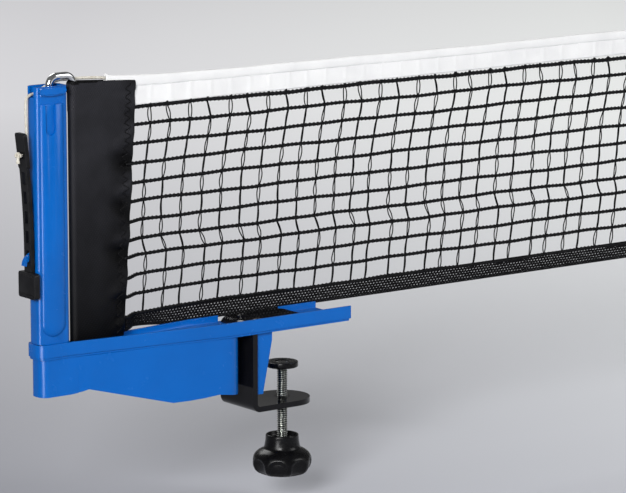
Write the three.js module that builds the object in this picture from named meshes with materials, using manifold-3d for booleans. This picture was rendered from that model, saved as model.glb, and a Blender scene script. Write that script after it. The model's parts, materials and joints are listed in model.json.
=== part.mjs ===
// A screw clamp for a table tennis net, with the post that it carries, the rod and strap that hold the net
// to the post, and the end of the net.
//
// Millimetres, +Z up. X runs along the net towards the middle of the table, and Y runs away from the side
// with the tall lip. The origin is the corner where the table's top surface (z = 0) meets its edge (x = 0),
// in the middle of the clamp.

import * as THREE from 'three';
import { mergeVertices } from 'three/addons/utils/BufferGeometryUtils.js';
import Module from 'manifold-3d';

const wasm = await Module();
wasm.setup();

// ---- Driving dimensions -------------------------------------------------------------------------------

// General fits
const gap = 0.3;                 // clearance between neighbouring pieces that don't move on each other
const overrun = 1;               // how far a cutting tool reaches past the face that it cuts

// Arm: the long tray over the table edge and the housing below it
const postOutside = 152.5;       // from the table's edge to the outer face of the post
const armLeftOverhang = 0.8;     // how far the tray's end stands past the post
const armReach = 54.9;           // how far the tray reaches over the table
const flareStart = 0.6;          // from the post's inner face to where the sides start to widen
const flareEndX = -36;
const armEndRadius = 5.5;
const armTipRadius = 1.2;
const trayWall = 1.6;
const trayFloor = 2.2;
const frontLipHeight = 8.8;
const backLipHeight = 5.8;
const backLipStart = 4.6;        // from the post's inner face to where the back lip drops
const lipGrooveHeight = 1.4;     // shadow groove round the tray's lower edge
const lipGrooveDepth = 0.8;

// Stop block under the tray, which the table's edge meets
const stopHalfWidth = 15;
const stopDepth = 36;
const stopLand = 5;              // height of its face that stands square to the table
const stopTaper = 6.5;           // how far the face leans back below that, at the bottom
const stopWall = 1.8;

// Housing below the tray
const skirtWall = 1.6;
const skirtInset = 1.4;          // how far its sides stay inside the tray's
const skirtEndInset = 2;         // and its end under the post
const skirtStepStart = 5;        // from the post's inner face to where its sides step outwards
const skirtStepLength = 4.8;
const skirtStepOut = 1.1;
const skirtRightX = -20.8;
const skirtPostDepth = 21.2;     // depth under the post
const skirtNickDepth = 19.2;     // depth at the shallow bend beside the post
const skirtDeepX = -68.4;
const skirtDeepDepth = 33.3;
const skirtClampX = -38;
const skirtClampDepth = 32;
const skirtEndDepth = 34.6;
const skirtCornerRadius = 5;     // at the post's end
const skirtEndRadius = 10;       // at the clamp's end
const skirtRibThickness = 1.4;

// Self-tapping screws
const smallScrewRadius = 1.6;
const smallScrewGap = 0.35;
const smallHeadRadius = 3.2;
const smallHeadHeight = 1.6;
const smallScrewLength = 14;
const skirtScrewOffset = 19.6;   // from the post's inner face to the first screw
const skirtScrewClampX = -46;
const smallBossWall = 1.65;
const bracketScrewX = -5;
const bracketScrewY = 8;

// Steel C bracket
const stripThickness = 3.2;
const stripWidth = 32.4;
const stripSideGap = 0.5;        // between its edges and the tray's lips
const plateRightX = -11.2;       // face of the upright that the stop block rests on
const footUnderside = -46.2;
const bendOuterRadius = 5;
const bendInnerRadius = 1.8;
const bracketArmEndX = 28;
const bracketArmCorner = 5;

// Clamping screw, its bush, pad and knob
const screwX = 17.9;
const screwRadius = 3.1;
const threadGap = 0.35;          // radial clearance of a plain thread in its nut or bush
const bushWall = 0.75;
const bushBelow = 1.8;           // how far the bush stands out under the foot
const padTop = -22.3;
const padRadius = 9.35;
const padThickness = 3.2;
const padRecessDepth = 1.2;
const screwPinRadius = 2.2;      // thin end of the screw, which turns in the pad
const rivetHeadRadius = 3.5;
const knobTop = -65.6;
const knobHeight = 23.5;
const knobRadius = 17.4;
const knobWidestHeight = 7;      // above its bottom
const knobNeckHeight = 15.6;     // where the neck meets the bulb
const knobNeckRadius = 10.3;     // there
const knobRimRadius = 9.6;       // at the top
const knobRimWidth = 0.9;
const knobLobes = 8;
const knobLobeDepth = 1.7;
const knobDishDepth = 3.4;
const screwInKnob = 18.5;        // how deep the screw stands in the knob

// Post
const postWidth = 20.9;          // along X
const postDepth = 12;            // along Y
const postTop = 152.5;
const postBottom = 4.8;
const postOuterCorner = 4.5;     // radius of its outer corner at the back, and of its foot's two
const postFrontCorner = 2.2;     // radius of its outer corner at the front
const postInnerCorner = 3;
const postWall = 1.8;
const postFootHeight = 6.2;      // solid foot that holds the nut
const bulgeHalfWidth = 7.6;
const bulgeOffset = -0.9;        // the bulge, the bead and the recess stand a little off the middle
const bulgeOut = 2.2;
const bulgeBottom = 13;          // above the table, as all heights are
const bulgeEndLength = 7;
const beadHeight = 3.4;
const beadOut = 1.5;
const beadDrop = 0.5;            // from the post's top to the bead
const beadWidth = 17;
const bandHeight = 5;            // recessed cross bar under the bead
const bandDrop = 4.7;            // from the post's top to the cross bar
const slotWidth = 6.2;           // recessed upright below the cross bar
const slotLength = 17;
const slotOffset = -1.6;         // from the middle of the cross bar
const notchHalfWidth = 3;
const notchDepth = 5.7;
const webThickness = 3;
const lowerWebZ = 60;
const upperWebDrop = 34.5;
const hookHalfWidth = 1.15;
const hookThickness = 2.7;
const hookReach = 6.6;
const hookUnderside = 55.5;

// Height adjustment inside the arm and the post
const heightScrewRadius = 2.5;
const heightScrewTop = 34;
const heightHeadRadius = 4.1;
const heightHeadHeight = 4;
const heightSocketDepth = 2;
const heightClipRadius = 4.6;
const heightClipThickness = 1;
const nutAcrossFlats = 8;
const nutThickness = 4;
const prongThickness = 2.4;
const prongSideGap = 0.5;
const prongTop = 40;
const runningGap = 0.4;

// Bent steel rod through the post and the net's sleeve
const rodRadius = 2;
const rodInset = 12;             // from the post's outer face to the short leg's middle
const rodOutset = 6.8;           // from the post's inner face to the long leg's middle
const rodArchRise = 4.5;         // from the post's top to the middle of the rod's top run
const rodBendRadius = 5;
const rodLongBottom = 6;
const rodShortBottom = 52;
const rodGap = 0.45;             // radial clearance in the sleeve
const rodWebGap = 0.35;          // and in the post's webs

// Net
const netDrop = 0.2;             // from the post's top to the net's top edge
const tapeHeight = 15.7;
const meshBottom = 15.3;
const meshRows = 11;
const meshColumns = 27;
const meshRightX = 304;
const cordWidth = 1.5;           // width of the net's threads as flat bars
const meshHalfThickness = 0.6;
const tapeHalfThickness = 0.9;
const bandHalfThickness = 0.95;
const bandBottom = 4.6;
const bandBottomAtSleeve = 7.4;
const bandRampStart = 9.8;       // from the sleeve to where the band starts to drop behind the back lip
const bandRampEndX = -40;
const leanStartAbove = 0.4;      // the net starts to lean just above the tape's lower edge
const leanAtSleeve = 6.5;        // how far the lower edge is pushed back beside the sleeve
const leanClear = 0.65;          // between the band and the outside of the back lip
const sleeveWidth = 39;          // from the rod to the sleeve's stitched edge
const sleeveBottom = 5.2;
const sleeveWall = 1.25;
const sleeveEdgeHalf = 1.3;
const farSleeveWidth = 42;

// Tension cord, knot and strap
const cordRadius = 0.8;
const strapThickness = 2.4;
const strapHalfWidth = 3.5;
const strapHoleGap = 0.45;       // beside the hook
const strapHoleHeight = 6.8;
const strapHolePitch = 10.95;
const strapHoles = 5;
const knotHoleMargin = 1;        // round the cord
const strapTop = 127.6;
const strapStandoff = 2;         // from the post to the middle of the strap, at the hook
const strapBend = 0.0009;        // it leans out by this times the square of the height above the hook
const strapHeadHalfWidth = 4.4;
const strapHeadHeight = 20.2;
const strapCorner = 1.6;
const tabHalfWidth = 8.5;
const tabTop = 49.7;
const tabBottom = 35.2;
const tabThickness = 3.2;
const tabRibHeight = 1.2;
const tabRibOut = 0.5;
const knotRadius = 2.3;
const knotHalfThickness = 1.7;

// ---- Values that follow from them ---------------------------------------------------------------------

const postOuterX = -postOutside;
const postInnerX = postOuterX + postWidth;
const postMiddleX = (postOuterX + postInnerX) / 2;
const armNarrow = postDepth + 2 * (trayWall + runningGap);
const armWide = stripWidth + 2 * (trayWall + stripSideGap);
const prongHalfDepth = postDepth / 2 - postWall - prongSideGap;
const armLeftX = postOuterX - armLeftOverhang;
const postFootInset = trayWall + gap - armLeftOverhang;
const flareStartX = postInnerX + flareStart;
const backLipStartX = postInnerX + backLipStart;
const skirtStepX = postInnerX + skirtStepStart;
const skirtStepEndX = skirtStepX + skirtStepLength;
const skirtScrewX = [postInnerX + skirtScrewOffset, skirtScrewClampX];
const smallScrewHole = smallScrewRadius + smallScrewGap;
const smallBossRadius = smallScrewHole + smallBossWall;
const plateLeftX = plateRightX - stripThickness;
const footTop = footUnderside + stripThickness;
const bushBore = screwRadius + threadGap;
const bushRadius = bushBore + bushWall;
const padBottom = padTop - padThickness;
const beadTop = postTop - beadDrop;
const bandTop = postTop - bandDrop;
const notchBottom = postTop - notchDepth;
const rodLeftX = postOuterX + rodInset;
const rodRightX = postInnerX + rodOutset;
const bulgeX = postMiddleX + bulgeOffset;
const rodArchTop = postTop + rodArchRise;
const rodBore = rodRadius + rodGap;
const netTop = postTop - netDrop;
const tapeBottom = netTop - tapeHeight;
const meshTop = tapeBottom - gap;
const leanStartZ = tapeBottom + leanStartAbove;
const sleeveRightX = rodRightX + sleeveWidth;
const sleeveNoseRadius = rodBore + sleeveWall;
const bandRampX = [sleeveRightX + bandRampStart, bandRampEndX];
const leanOverLip = bandHalfThickness + leanClear;
const strapHoleBottom = hookUnderside - gap;
const strapHoleHalfWidth = hookHalfWidth + strapHoleGap;

// ---- Solids from three.js geometry --------------------------------------------------------------------

/** A closed solid from a closed geometry: shared corners are merged, and only positions are kept. */
function solidOf(geometry) {
  const bare = geometry.clone();
  bare.deleteAttribute('normal');
  bare.deleteAttribute('uv');
  const merged = mergeVertices(bare, 1e-4);
  return new wasm.Manifold(new wasm.Mesh({
    numProp: 3,
    vertProperties: Float32Array.from(merged.attributes.position.array),
    triVerts: Uint32Array.from(merged.index.array),
  }));
}

function geometryOf(solid) {
  const mesh = solid.getMesh();
  const positions = new Float32Array(mesh.numVert * 3);
  for (let i = 0; i < mesh.numVert; i += 1) {
    for (let k = 0; k < 3; k += 1) {
      positions[3 * i + k] = mesh.vertProperties[i * mesh.numProp + k];
    }
  }
  const geometry = new THREE.BufferGeometry();
  geometry.setAttribute('position', new THREE.BufferAttribute(positions, 3));
  geometry.setIndex(Array.from(mesh.triVerts));
  geometry.computeVertexNormals();
  return geometry;
}

/** A plan outline in X and Y, raised from z0 to z1. Each arc in it has twice `curveSegments` steps. */
function raised(shape, z0, z1, curveSegments = 3) {
  const geometry = new THREE.ExtrudeGeometry(shape, { depth: z1 - z0, bevelEnabled: false, curveSegments });
  return solidOf(geometry.translate(0, 0, z0));
}

/** A side outline in X and Z, carried along Y from y0 to y1. */
function across(shape, y0, y1, curveSegments = 3) {
  const geometry = new THREE.ExtrudeGeometry(shape, { depth: y1 - y0, bevelEnabled: false, curveSegments });
  return solidOf(geometry.rotateX(Math.PI / 2).translate(0, y1, 0));
}

/** A front outline in Y and Z, carried along X from x0 to x1. */
function facing(shape, x0, x1, curveSegments = 3) {
  const geometry = new THREE.ExtrudeGeometry(shape, { depth: x1 - x0, bevelEnabled: false, curveSegments });
  return solidOf(geometry.rotateX(Math.PI / 2).rotateZ(Math.PI / 2).translate(x0, 0, 0));
}

function box(x0, x1, y0, y1, z0, z1) {
  const geometry = new THREE.BoxGeometry(x1 - x0, y1 - y0, z1 - z0);
  return solidOf(geometry.translate((x0 + x1) / 2, (y0 + y1) / 2, (z0 + z1) / 2));
}

function upright(radius, x, y, z0, z1, sides = 20) {
  const geometry = new THREE.CylinderGeometry(radius, radius, z1 - z0, sides);
  return solidOf(geometry.rotateX(Math.PI / 2).translate(x, y, (z0 + z1) / 2));
}

/** A profile of [radius, z] pairs, from the axis and back to it, turned about a line along Z. */
function turned(profile, x, y, segments = 24) {
  const points = profile.map(([radius, z]) => new THREE.Vector2(radius, z));
  return solidOf(new THREE.LatheGeometry(points, segments).rotateX(Math.PI / 2).translate(x, y, 0));
}

function polygon(points) {
  return new THREE.Shape(points.map(([x, y]) => new THREE.Vector2(x, y)));
}

function roundedRectangle(x0, x1, y0, y1, radius) {
  const shape = new THREE.Shape();
  shape.moveTo(x0 + radius, y0);
  shape.lineTo(x1 - radius, y0);
  shape.absarc(x1 - radius, y0 + radius, radius, -Math.PI / 2, 0);
  shape.lineTo(x1, y1 - radius);
  shape.absarc(x1 - radius, y1 - radius, radius, 0, Math.PI / 2);
  shape.lineTo(x0 + radius, y1);
  shape.absarc(x0 + radius, y1 - radius, radius, Math.PI / 2, Math.PI);
  shape.lineTo(x0, y0 + radius);
  shape.absarc(x0 + radius, y0 + radius, radius, Math.PI, 1.5 * Math.PI);
  return shape;
}

/** A tube along a curve. */
function tube(curve, radius, steps, sides) {
  const section = new THREE.Shape();
  section.absarc(0, 0, radius, 0, 2 * Math.PI);
  const geometry = new THREE.ExtrudeGeometry(section, { steps, curveSegments: sides / 2, extrudePath: curve });
  return solidOf(geometry);
}

/** A curve that takes its steps at chosen stations, so that straight runs need only one step. */
class Stations extends THREE.Curve {
  constructor(points) {
    super();
    this.points = points;
  }

  getPointAt(u) {
    return this.points[Math.round(u * (this.points.length - 1))].clone();
  }

  getTangentAt(u) {
    const i = Math.round(u * (this.points.length - 1));
    const before = this.points[Math.max(i - 1, 0)];
    const after = this.points[Math.min(i + 1, this.points.length - 1)];
    const arriving = this.points[i].clone().sub(before).normalize();
    const leaving = after.clone().sub(this.points[i]).normalize();
    return arriving.add(leaving).normalize();
  }
}

const object = new THREE.Group();

function add(name, solid, color, roughness, metalness) {
  const material = new THREE.MeshStandardMaterial({ color, roughness, metalness });
  const mesh = new THREE.Mesh(geometryOf(solid), material);
  mesh.name = name;
  object.add(mesh);
}

const blue = 0x0a63c4;
const blackPaint = 0x0c0c0e;
const zinc = 0xb9bcbd;
const blackPlastic = 0x141416;
const chrome = 0xd8dadc;
const blackNylon = 0x17171c;
const whiteCloth = 0xf1f1ee;
const blackRubber = 0x121214;
const creamCord = 0xe9e4d6;

// ---- Arm tray -----------------------------------------------------------------------------------------

/** The arm's half width at x: narrow beside the post, then widening evenly to the clamp. */
function armHalfWidth(x) {
  const t = THREE.MathUtils.clamp((x - flareStartX) / (flareEndX - flareStartX), 0, 1);
  return THREE.MathUtils.lerp(armNarrow, armWide, t) / 2;
}

/** The arm's plan, drawn in by `inset` on its sides and at its two ends by their own amounts. */
function armPlan(inset, leftX, rightX, rightRadius) {
  const narrow = armNarrow / 2 - inset;
  const wide = armWide / 2 - inset;
  const round = armEndRadius - inset;
  const shape = new THREE.Shape();
  shape.moveTo(leftX + round, -narrow);
  shape.lineTo(flareStartX, -narrow);
  shape.lineTo(flareEndX, -wide);
  shape.lineTo(rightX - rightRadius, -wide);
  shape.absarc(rightX - rightRadius, -wide + rightRadius, rightRadius, -Math.PI / 2, 0);
  shape.lineTo(rightX, wide - rightRadius);
  shape.absarc(rightX - rightRadius, wide - rightRadius, rightRadius, 0, Math.PI / 2);
  shape.lineTo(flareEndX, wide);
  shape.lineTo(flareStartX, narrow);
  shape.lineTo(leftX + round, narrow);
  shape.absarc(leftX + round, narrow - round, round, Math.PI / 2, Math.PI);
  shape.lineTo(leftX, -narrow + round);
  shape.absarc(leftX + round, -narrow + round, round, Math.PI, 1.5 * Math.PI);
  return shape;
}

/** The block under the tray that the table's edge meets: hollow from below, with two screw bosses. */
function stopBlock() {
  const leftX = plateRightX + gap;
  const face = polygon([[leftX, 0.5], [0, 0.5], [0, -stopLand], [-stopTaper, -stopDepth], [leftX, -stopDepth]]);
  const innerBottom = -stopDepth - overrun;
  const hollow = polygon([
    [leftX + stopWall, -stopWall],
    [-stopWall, -stopWall],
    [-stopWall, -stopLand],
    [-stopTaper - stopWall, innerBottom],
    [leftX + stopWall, innerBottom],
  ]);
  const between = bracketScrewY - smallBossRadius;
  const outside = bracketScrewY + smallBossRadius;
  let block = across(face, -stopHalfWidth, stopHalfWidth);
  block = block.subtract(across(hollow, -between, between));
  if (stopHalfWidth - stopWall > outside) {
    block = block.subtract(across(hollow, outside, stopHalfWidth - stopWall));
    block = block.subtract(across(hollow, stopWall - stopHalfWidth, -outside));
  }
  return block;
}

function armTray() {
  const wide = armWide / 2;
  let tray = raised(armPlan(0, armLeftX, armReach, armTipRadius), 0, frontLipHeight);
  const groove = raised(armPlan(-1, armLeftX - 1, armReach + 1, armTipRadius), -overrun, lipGrooveHeight)
    .subtract(raised(
      armPlan(lipGrooveDepth, armLeftX + lipGrooveDepth, armReach - lipGrooveDepth, armTipRadius),
      -2 * overrun, lipGrooveHeight + overrun));
  tray = tray.subtract(groove);
  tray = tray.subtract(raised(
    armPlan(trayWall, armLeftX + trayWall, armReach + 10, armTipRadius), trayFloor, frontLipHeight + overrun));
  // The back lip is lower, and open where the bracket's arm lies on the floor.
  tray = tray.subtract(box(backLipStartX, armReach + 1, 2, wide + 1, backLipHeight, frontLipHeight + overrun));
  tray = tray.subtract(box(
    plateLeftX - gap - 0.8, bracketArmEndX + gap, wide - trayWall - 0.6, wide + 1, trayFloor, backLipHeight + overrun));
  // Slot for the bracket's upright and its bend
  tray = tray.subtract(box(
    plateLeftX - gap, plateRightX + bendInnerRadius + gap,
    -stripWidth / 2 - gap, stripWidth / 2 + gap, -overrun, trayFloor + overrun));
  tray = tray.add(stopBlock());
  for (const side of [-1, 1]) {
    tray = tray.subtract(upright(
      smallScrewHole, bracketScrewX, side * bracketScrewY, trayFloor - smallScrewLength - 2, trayFloor + overrun));
  }
  for (const x of skirtScrewX) {
    tray = tray.subtract(upright(smallScrewHole, x, 0, -overrun, trayFloor + overrun));
  }
  // Two prongs that guide the post, either side of the height screw
  for (const [x0, x1] of prongSpans()) {
    tray = tray.add(box(x0, x1, -prongHalfDepth, prongHalfDepth, trayFloor - 1, prongTop));
  }
  return tray.subtract(upright(heightScrewRadius + gap, postMiddleX, 0, -overrun, trayFloor + overrun));
}

/** The two prongs' extents in X, just inside the post's walls. */
function prongSpans() {
  const left = postOuterX + postWall + runningGap;
  const right = postInnerX - postWall - runningGap;
  return [[left, left + prongThickness], [right - prongThickness, right]];
}

add('arm_tray', armTray(), blue, 0.35, 0);

// ---- Housing below the tray ---------------------------------------------------------------------------

/** The housing's plan: it follows the tray's sides, with a step outwards beside the post. */
function skirtPlan(inset, leftX, rightX) {
  const narrow = armNarrow / 2 - skirtInset - inset;
  const step = armHalfWidth(skirtStepEndX) - skirtInset + skirtStepOut - inset;
  const atFlare = armWide / 2 - skirtInset - inset;
  const round = skirtCornerRadius - inset;
  const endRound = skirtEndRadius - inset;
  const shape = new THREE.Shape();
  shape.moveTo(leftX + round, -narrow);
  shape.lineTo(skirtStepX, -narrow);
  shape.lineTo(skirtStepEndX, -step);
  shape.lineTo(flareEndX, -atFlare);
  shape.lineTo(rightX - endRound, -atFlare);
  shape.absarc(rightX - endRound, -atFlare + endRound, endRound, -Math.PI / 2, 0);
  shape.lineTo(rightX, atFlare - endRound);
  shape.absarc(rightX - endRound, atFlare - endRound, endRound, 0, Math.PI / 2);
  shape.lineTo(flareEndX, atFlare);
  shape.lineTo(skirtStepEndX, step);
  shape.lineTo(skirtStepX, narrow);
  shape.lineTo(leftX + round, narrow);
  shape.absarc(leftX + round, narrow - round, round, Math.PI / 2, Math.PI);
  shape.lineTo(leftX, -narrow + round);
  shape.absarc(leftX + round, -narrow + round, round, Math.PI, 1.5 * Math.PI);
  return shape;
}

/** The housing seen from the front: shallow under the post, then sloping down to the clamp. */
function skirtSide() {
  const leftX = armLeftX - 1;
  const shape = new THREE.Shape();
  shape.moveTo(leftX, 0);
  shape.lineTo(leftX, -skirtPostDepth);
  shape.lineTo(skirtStepX - 6, -skirtPostDepth);
  shape.quadraticCurveTo(skirtStepX, -skirtPostDepth, skirtStepEndX, -skirtNickDepth);
  shape.lineTo(skirtDeepX, -skirtDeepDepth);
  shape.quadraticCurveTo((skirtDeepX + skirtClampX) / 2, -skirtDeepDepth - 0.4, skirtClampX, -skirtClampDepth);
  shape.lineTo(skirtRightX + 1, -skirtEndDepth);
  shape.lineTo(skirtRightX + 1, 0);
  return shape;
}

function armSkirt() {
  const leftX = armLeftX + skirtEndInset;
  const reach = armWide;
  const side = across(skirtSide(), -reach, reach);
  const outer = raised(skirtPlan(0, leftX, skirtRightX), -reach - 10, 0, 5);
  const inner = raised(skirtPlan(skirtWall, leftX + skirtWall, skirtRightX - skirtWall), -reach - 12, overrun, 5);
  let skirt = outer.intersect(side).subtract(inner);
  for (const x of skirtScrewX) {
    const halfWidth = armHalfWidth(x) - skirtInset;
    const rib = box(
      x - skirtRibThickness / 2, x + skirtRibThickness / 2, -halfWidth, halfWidth, -smallScrewLength, 0);
    const boss = upright(smallBossRadius, x, 0, -smallScrewLength - 1, 0);
    const hole = upright(smallScrewHole, x, 0, -smallScrewLength - 2, overrun);
    skirt = skirt.add(rib.add(boss)).subtract(hole);
  }
  return skirt;
}

add('arm_skirt', armSkirt(), blue, 0.35, 0);

/** A pan-head screw that stands on z = seat and points down. */
function panScrew(x, y, seat, length) {
  const crown = seat + smallHeadHeight;
  return turned([
    [0, seat - length],
    [smallScrewRadius, seat - length + 2],
    [smallScrewRadius, seat],
    [smallHeadRadius, seat],
    [smallHeadRadius, crown - 0.6],
    [smallHeadRadius - 1, crown],
    [0, crown],
  ], x, y, 16);
}

add('skirt_screw_post_side', panScrew(skirtScrewX[0], 0, trayFloor, smallScrewLength), zinc, 0.35, 1);
add('skirt_screw_clamp_side', panScrew(skirtScrewX[1], 0, trayFloor, smallScrewLength), zinc, 0.35, 1);

// ---- Steel C bracket ----------------------------------------------------------------------------------

function cBracket() {
  const armTop = trayFloor + stripThickness;
  const outer = bendOuterRadius;
  const inner = bendInnerRadius;
  const footEnd = screwX + stripWidth / 2;
  const side = new THREE.Shape();
  side.moveTo(bracketArmEndX, armTop);
  side.lineTo(plateLeftX + outer, armTop);
  side.absarc(plateLeftX + outer, armTop - outer, outer, Math.PI / 2, Math.PI);
  side.lineTo(plateLeftX, footUnderside + outer);
  side.absarc(plateLeftX + outer, footUnderside + outer, outer, Math.PI, 1.5 * Math.PI);
  side.lineTo(footEnd, footUnderside);
  side.lineTo(footEnd, footTop);
  side.lineTo(plateRightX + inner, footTop);
  side.absarc(plateRightX + inner, footTop + inner, inner, 1.5 * Math.PI, Math.PI, true);
  side.lineTo(plateRightX, trayFloor - inner);
  side.absarc(plateRightX + inner, trayFloor - inner, inner, Math.PI, Math.PI / 2, true);
  side.lineTo(bracketArmEndX, trayFloor);
  const half = stripWidth / 2;
  let bracket = across(side, -half, half);
  // Round end of the foot, about the screw
  const beyond = box(screwX, footEnd + 1, -half - 1, half + 1, footUnderside - 1, footTop + 1);
  bracket = bracket.subtract(beyond.subtract(upright(half, screwX, 0, footUnderside - 2, footTop + 2, 48)));
  // Rounded corners of the upper arm
  const armPlanShape = roundedRectangle(0, bracketArmEndX, -half, half, bracketArmCorner);
  const corners = box(bracketArmEndX - bracketArmCorner, bracketArmEndX + 1, -half - 1, half + 1, 0, armTop + 1);
  bracket = bracket.subtract(corners.subtract(raised(armPlanShape, -1, armTop + 2)));
  bracket = bracket.subtract(upright(bushRadius + gap, screwX, 0, footUnderside - 1, footTop + 1));
  for (const side_ of [-1, 1]) {
    bracket = bracket.subtract(upright(
      smallScrewHole, bracketScrewX, side_ * bracketScrewY, trayFloor - 1, armTop + 1));
  }
  return bracket;
}

add('c_bracket', cBracket(), blackPaint, 0.3, 0.6);

const bracketSeat = trayFloor + stripThickness;
add('bracket_screw_front', panScrew(bracketScrewX, -bracketScrewY, bracketSeat, smallScrewLength), blackPaint, 0.3, 0.6);
add('bracket_screw_back', panScrew(bracketScrewX, bracketScrewY, bracketSeat, smallScrewLength), blackPaint, 0.3, 0.6);

function threadedBush() {
  const bottom = footUnderside - bushBelow;
  return upright(bushRadius, screwX, 0, bottom, footTop, 28)
    .subtract(upright(bushBore, screwX, 0, bottom - 1, footTop + 1, 28));
}

add('threaded_bush', threadedBush(), blackPaint, 0.3, 0.6);

// ---- Pad, screw and knob ------------------------------------------------------------------------------

function pressurePad() {
  const disc = turned([
    [0, padBottom],
    [padRadius - 0.6, padBottom],
    [padRadius, padBottom + 0.6],
    [padRadius, padTop - 0.5],
    [padRadius - 0.5, padTop],
    [0, padTop],
  ], screwX, 0, 40);
  return disc
    .subtract(upright(rivetHeadRadius + gap + 0.2, screwX, 0, padTop - padRecessDepth, padTop + 1, 28))
    .subtract(upright(screwPinRadius + gap, screwX, 0, padBottom - 1, padTop, 28));
}

add('pressure_pad', pressurePad(), blackPlastic, 0.5, 0);

/** The screw: a plain shank of the thread's size, with a thin end that is riveted over inside the pad. */
function clampScrew() {
  const headBottom = padTop - padRecessDepth + gap;
  return turned([
    [0, knobTop - screwInKnob],
    [screwRadius - 0.5, knobTop - screwInKnob],
    [screwRadius, knobTop - screwInKnob + 0.5],
    [screwRadius, padBottom - gap],
    [screwPinRadius, padBottom - gap],
    [screwPinRadius, headBottom],
    [rivetHeadRadius, headBottom],
    [rivetHeadRadius - 0.5, padTop - gap],
    [0, padTop - gap],
  ], screwX, 0, 28);
}

add('clamp_screw', clampScrew(), zinc, 0.3, 1);

/** Scallops the knob's skirt: each corner moves in towards the axis, most where the knob is widest. */
function scallop(geometry) {
  const position = geometry.attributes.position;
  for (let i = 0; i < position.count; i += 1) {
    const x = position.getX(i);
    const y = position.getY(i);
    const radius = Math.hypot(x, y);
    const bulge = THREE.MathUtils.smoothstep(radius, knobNeckRadius, knobRadius);
    if (bulge > 0) {
      const wave = 0.5 + 0.5 * Math.cos(knobLobes * Math.atan2(y, x));
      const scale = 1 - (knobLobeDepth * bulge * wave) / radius;
      position.setX(i, x * scale);
      position.setY(i, y * scale);
    }
  }
  return geometry;
}

function clampKnob() {
  const bottom = knobTop - knobHeight;
  const widest = bottom + knobWidestHeight;
  const shoulder = bottom + knobNeckHeight;
  // The bulb: a quarter of an ellipse below its widest place, and most of one above it
  const lower = spaced(0, Math.PI / 2, 5).map((t) => [
    THREE.MathUtils.lerp(knobRadius * 0.55, knobRadius, Math.sin(t)), widest - knobWidestHeight * Math.cos(t)]);
  const upper = spaced(0.3, Math.PI / 2, 4).map((t) => [
    THREE.MathUtils.lerp(knobNeckRadius, knobRadius, Math.cos(t)),
    widest + (shoulder - widest) * Math.sin(t)]);
  const dish = knobRimRadius - knobRimWidth;
  const profile = [
    [0, bottom],
    ...lower,
    ...upper,
    [THREE.MathUtils.lerp(knobNeckRadius, knobRimRadius, 0.6), shoulder + 3],
    [knobRimRadius, knobTop - 0.8],
    [knobRimRadius - 0.3, knobTop],
    [dish, knobTop],
    [dish - 0.6, knobTop - knobDishDepth * 0.7],
    [dish - 2, knobTop - knobDishDepth],
    [screwRadius + gap, knobTop - knobDishDepth],
    [screwRadius + gap, knobTop - screwInKnob - gap],
    [0, knobTop - screwInKnob - gap],
  ].map(([radius, z]) => new THREE.Vector2(radius, z));
  const body = new THREE.LatheGeometry(profile, knobLobes * 8).rotateX(Math.PI / 2);
  return solidOf(scallop(body).translate(screwX, 0, 0));
}

add('clamp_knob', clampKnob(), blackPlastic, 0.35, 0);

// ---- Height screw and its clip ------------------------------------------------------------------------

/** Socket-head screw under the tray's floor, whose thread lifts the post. */
function heightScrew() {
  const headTop = -gap;
  const headBottom = headTop - heightHeadHeight;
  const screw = turned([
    [0, headBottom],
    [heightHeadRadius, headBottom],
    [heightHeadRadius, headTop],
    [heightScrewRadius, headTop],
    [heightScrewRadius, heightScrewTop - 1],
    [heightScrewRadius - 1, heightScrewTop],
    [0, heightScrewTop],
  ], postMiddleX, 0, 20);
  const socket = upright(heightHeadRadius * 0.5, postMiddleX, 0, headBottom - 1, headBottom + heightSocketDepth, 6);
  return screw.subtract(socket);
}

add('height_screw', heightScrew(), zinc, 0.35, 1);

function heightClip() {
  const bottom = trayFloor + 0.2;
  const top = bottom + heightClipThickness;
  return upright(heightClipRadius, postMiddleX, 0, bottom, top)
    .subtract(upright(heightScrewRadius + 0.15, postMiddleX, 0, bottom - 1, top + 1));
}

add('height_clip', heightClip(), zinc, 0.35, 1);

// ---- Post ---------------------------------------------------------------------------------------------

/** The half-round rib up the post's front, with a rounded lower end. */
function frontBulge() {
  const faceY = -postDepth / 2;
  const start = bulgeBottom + bulgeEndLength;
  const column = new THREE.CylinderGeometry(1, 1, beadTop - start, 28);
  column.rotateX(Math.PI / 2).scale(bulgeHalfWidth, bulgeOut, 1);
  const end = new THREE.SphereGeometry(1, 28, 14).rotateX(Math.PI / 2);
  end.scale(bulgeHalfWidth, bulgeOut, bulgeEndLength);
  const rib = solidOf(column.translate(bulgeX, faceY, (start + beadTop) / 2))
    .add(solidOf(end.translate(bulgeX, faceY, start)));
  return rib.subtract(box(postOuterX, postInnerX, faceY + 0.8, 0, 0, postTop));
}

/** The post's plan, with its outer face at leftX and its outer corner at the front of radius `front`. */
function postPlan(leftX, front) {
  const half = postDepth / 2;
  const outer = postOuterCorner - (leftX - postOuterX) / 2;
  const inner = postInnerCorner;
  const shape = new THREE.Shape();
  shape.moveTo(leftX + front, -half);
  shape.lineTo(postInnerX - inner, -half);
  shape.absarc(postInnerX - inner, -half + inner, inner, -Math.PI / 2, 0);
  shape.lineTo(postInnerX, half - inner);
  shape.absarc(postInnerX - inner, half - inner, inner, 0, Math.PI / 2);
  shape.lineTo(leftX + outer, half);
  shape.absarc(leftX + outer, half - outer, outer, Math.PI / 2, Math.PI);
  shape.lineTo(leftX, -half + front);
  shape.absarc(leftX + front, -half + front, front, Math.PI, 1.5 * Math.PI);
  return shape;
}

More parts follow.
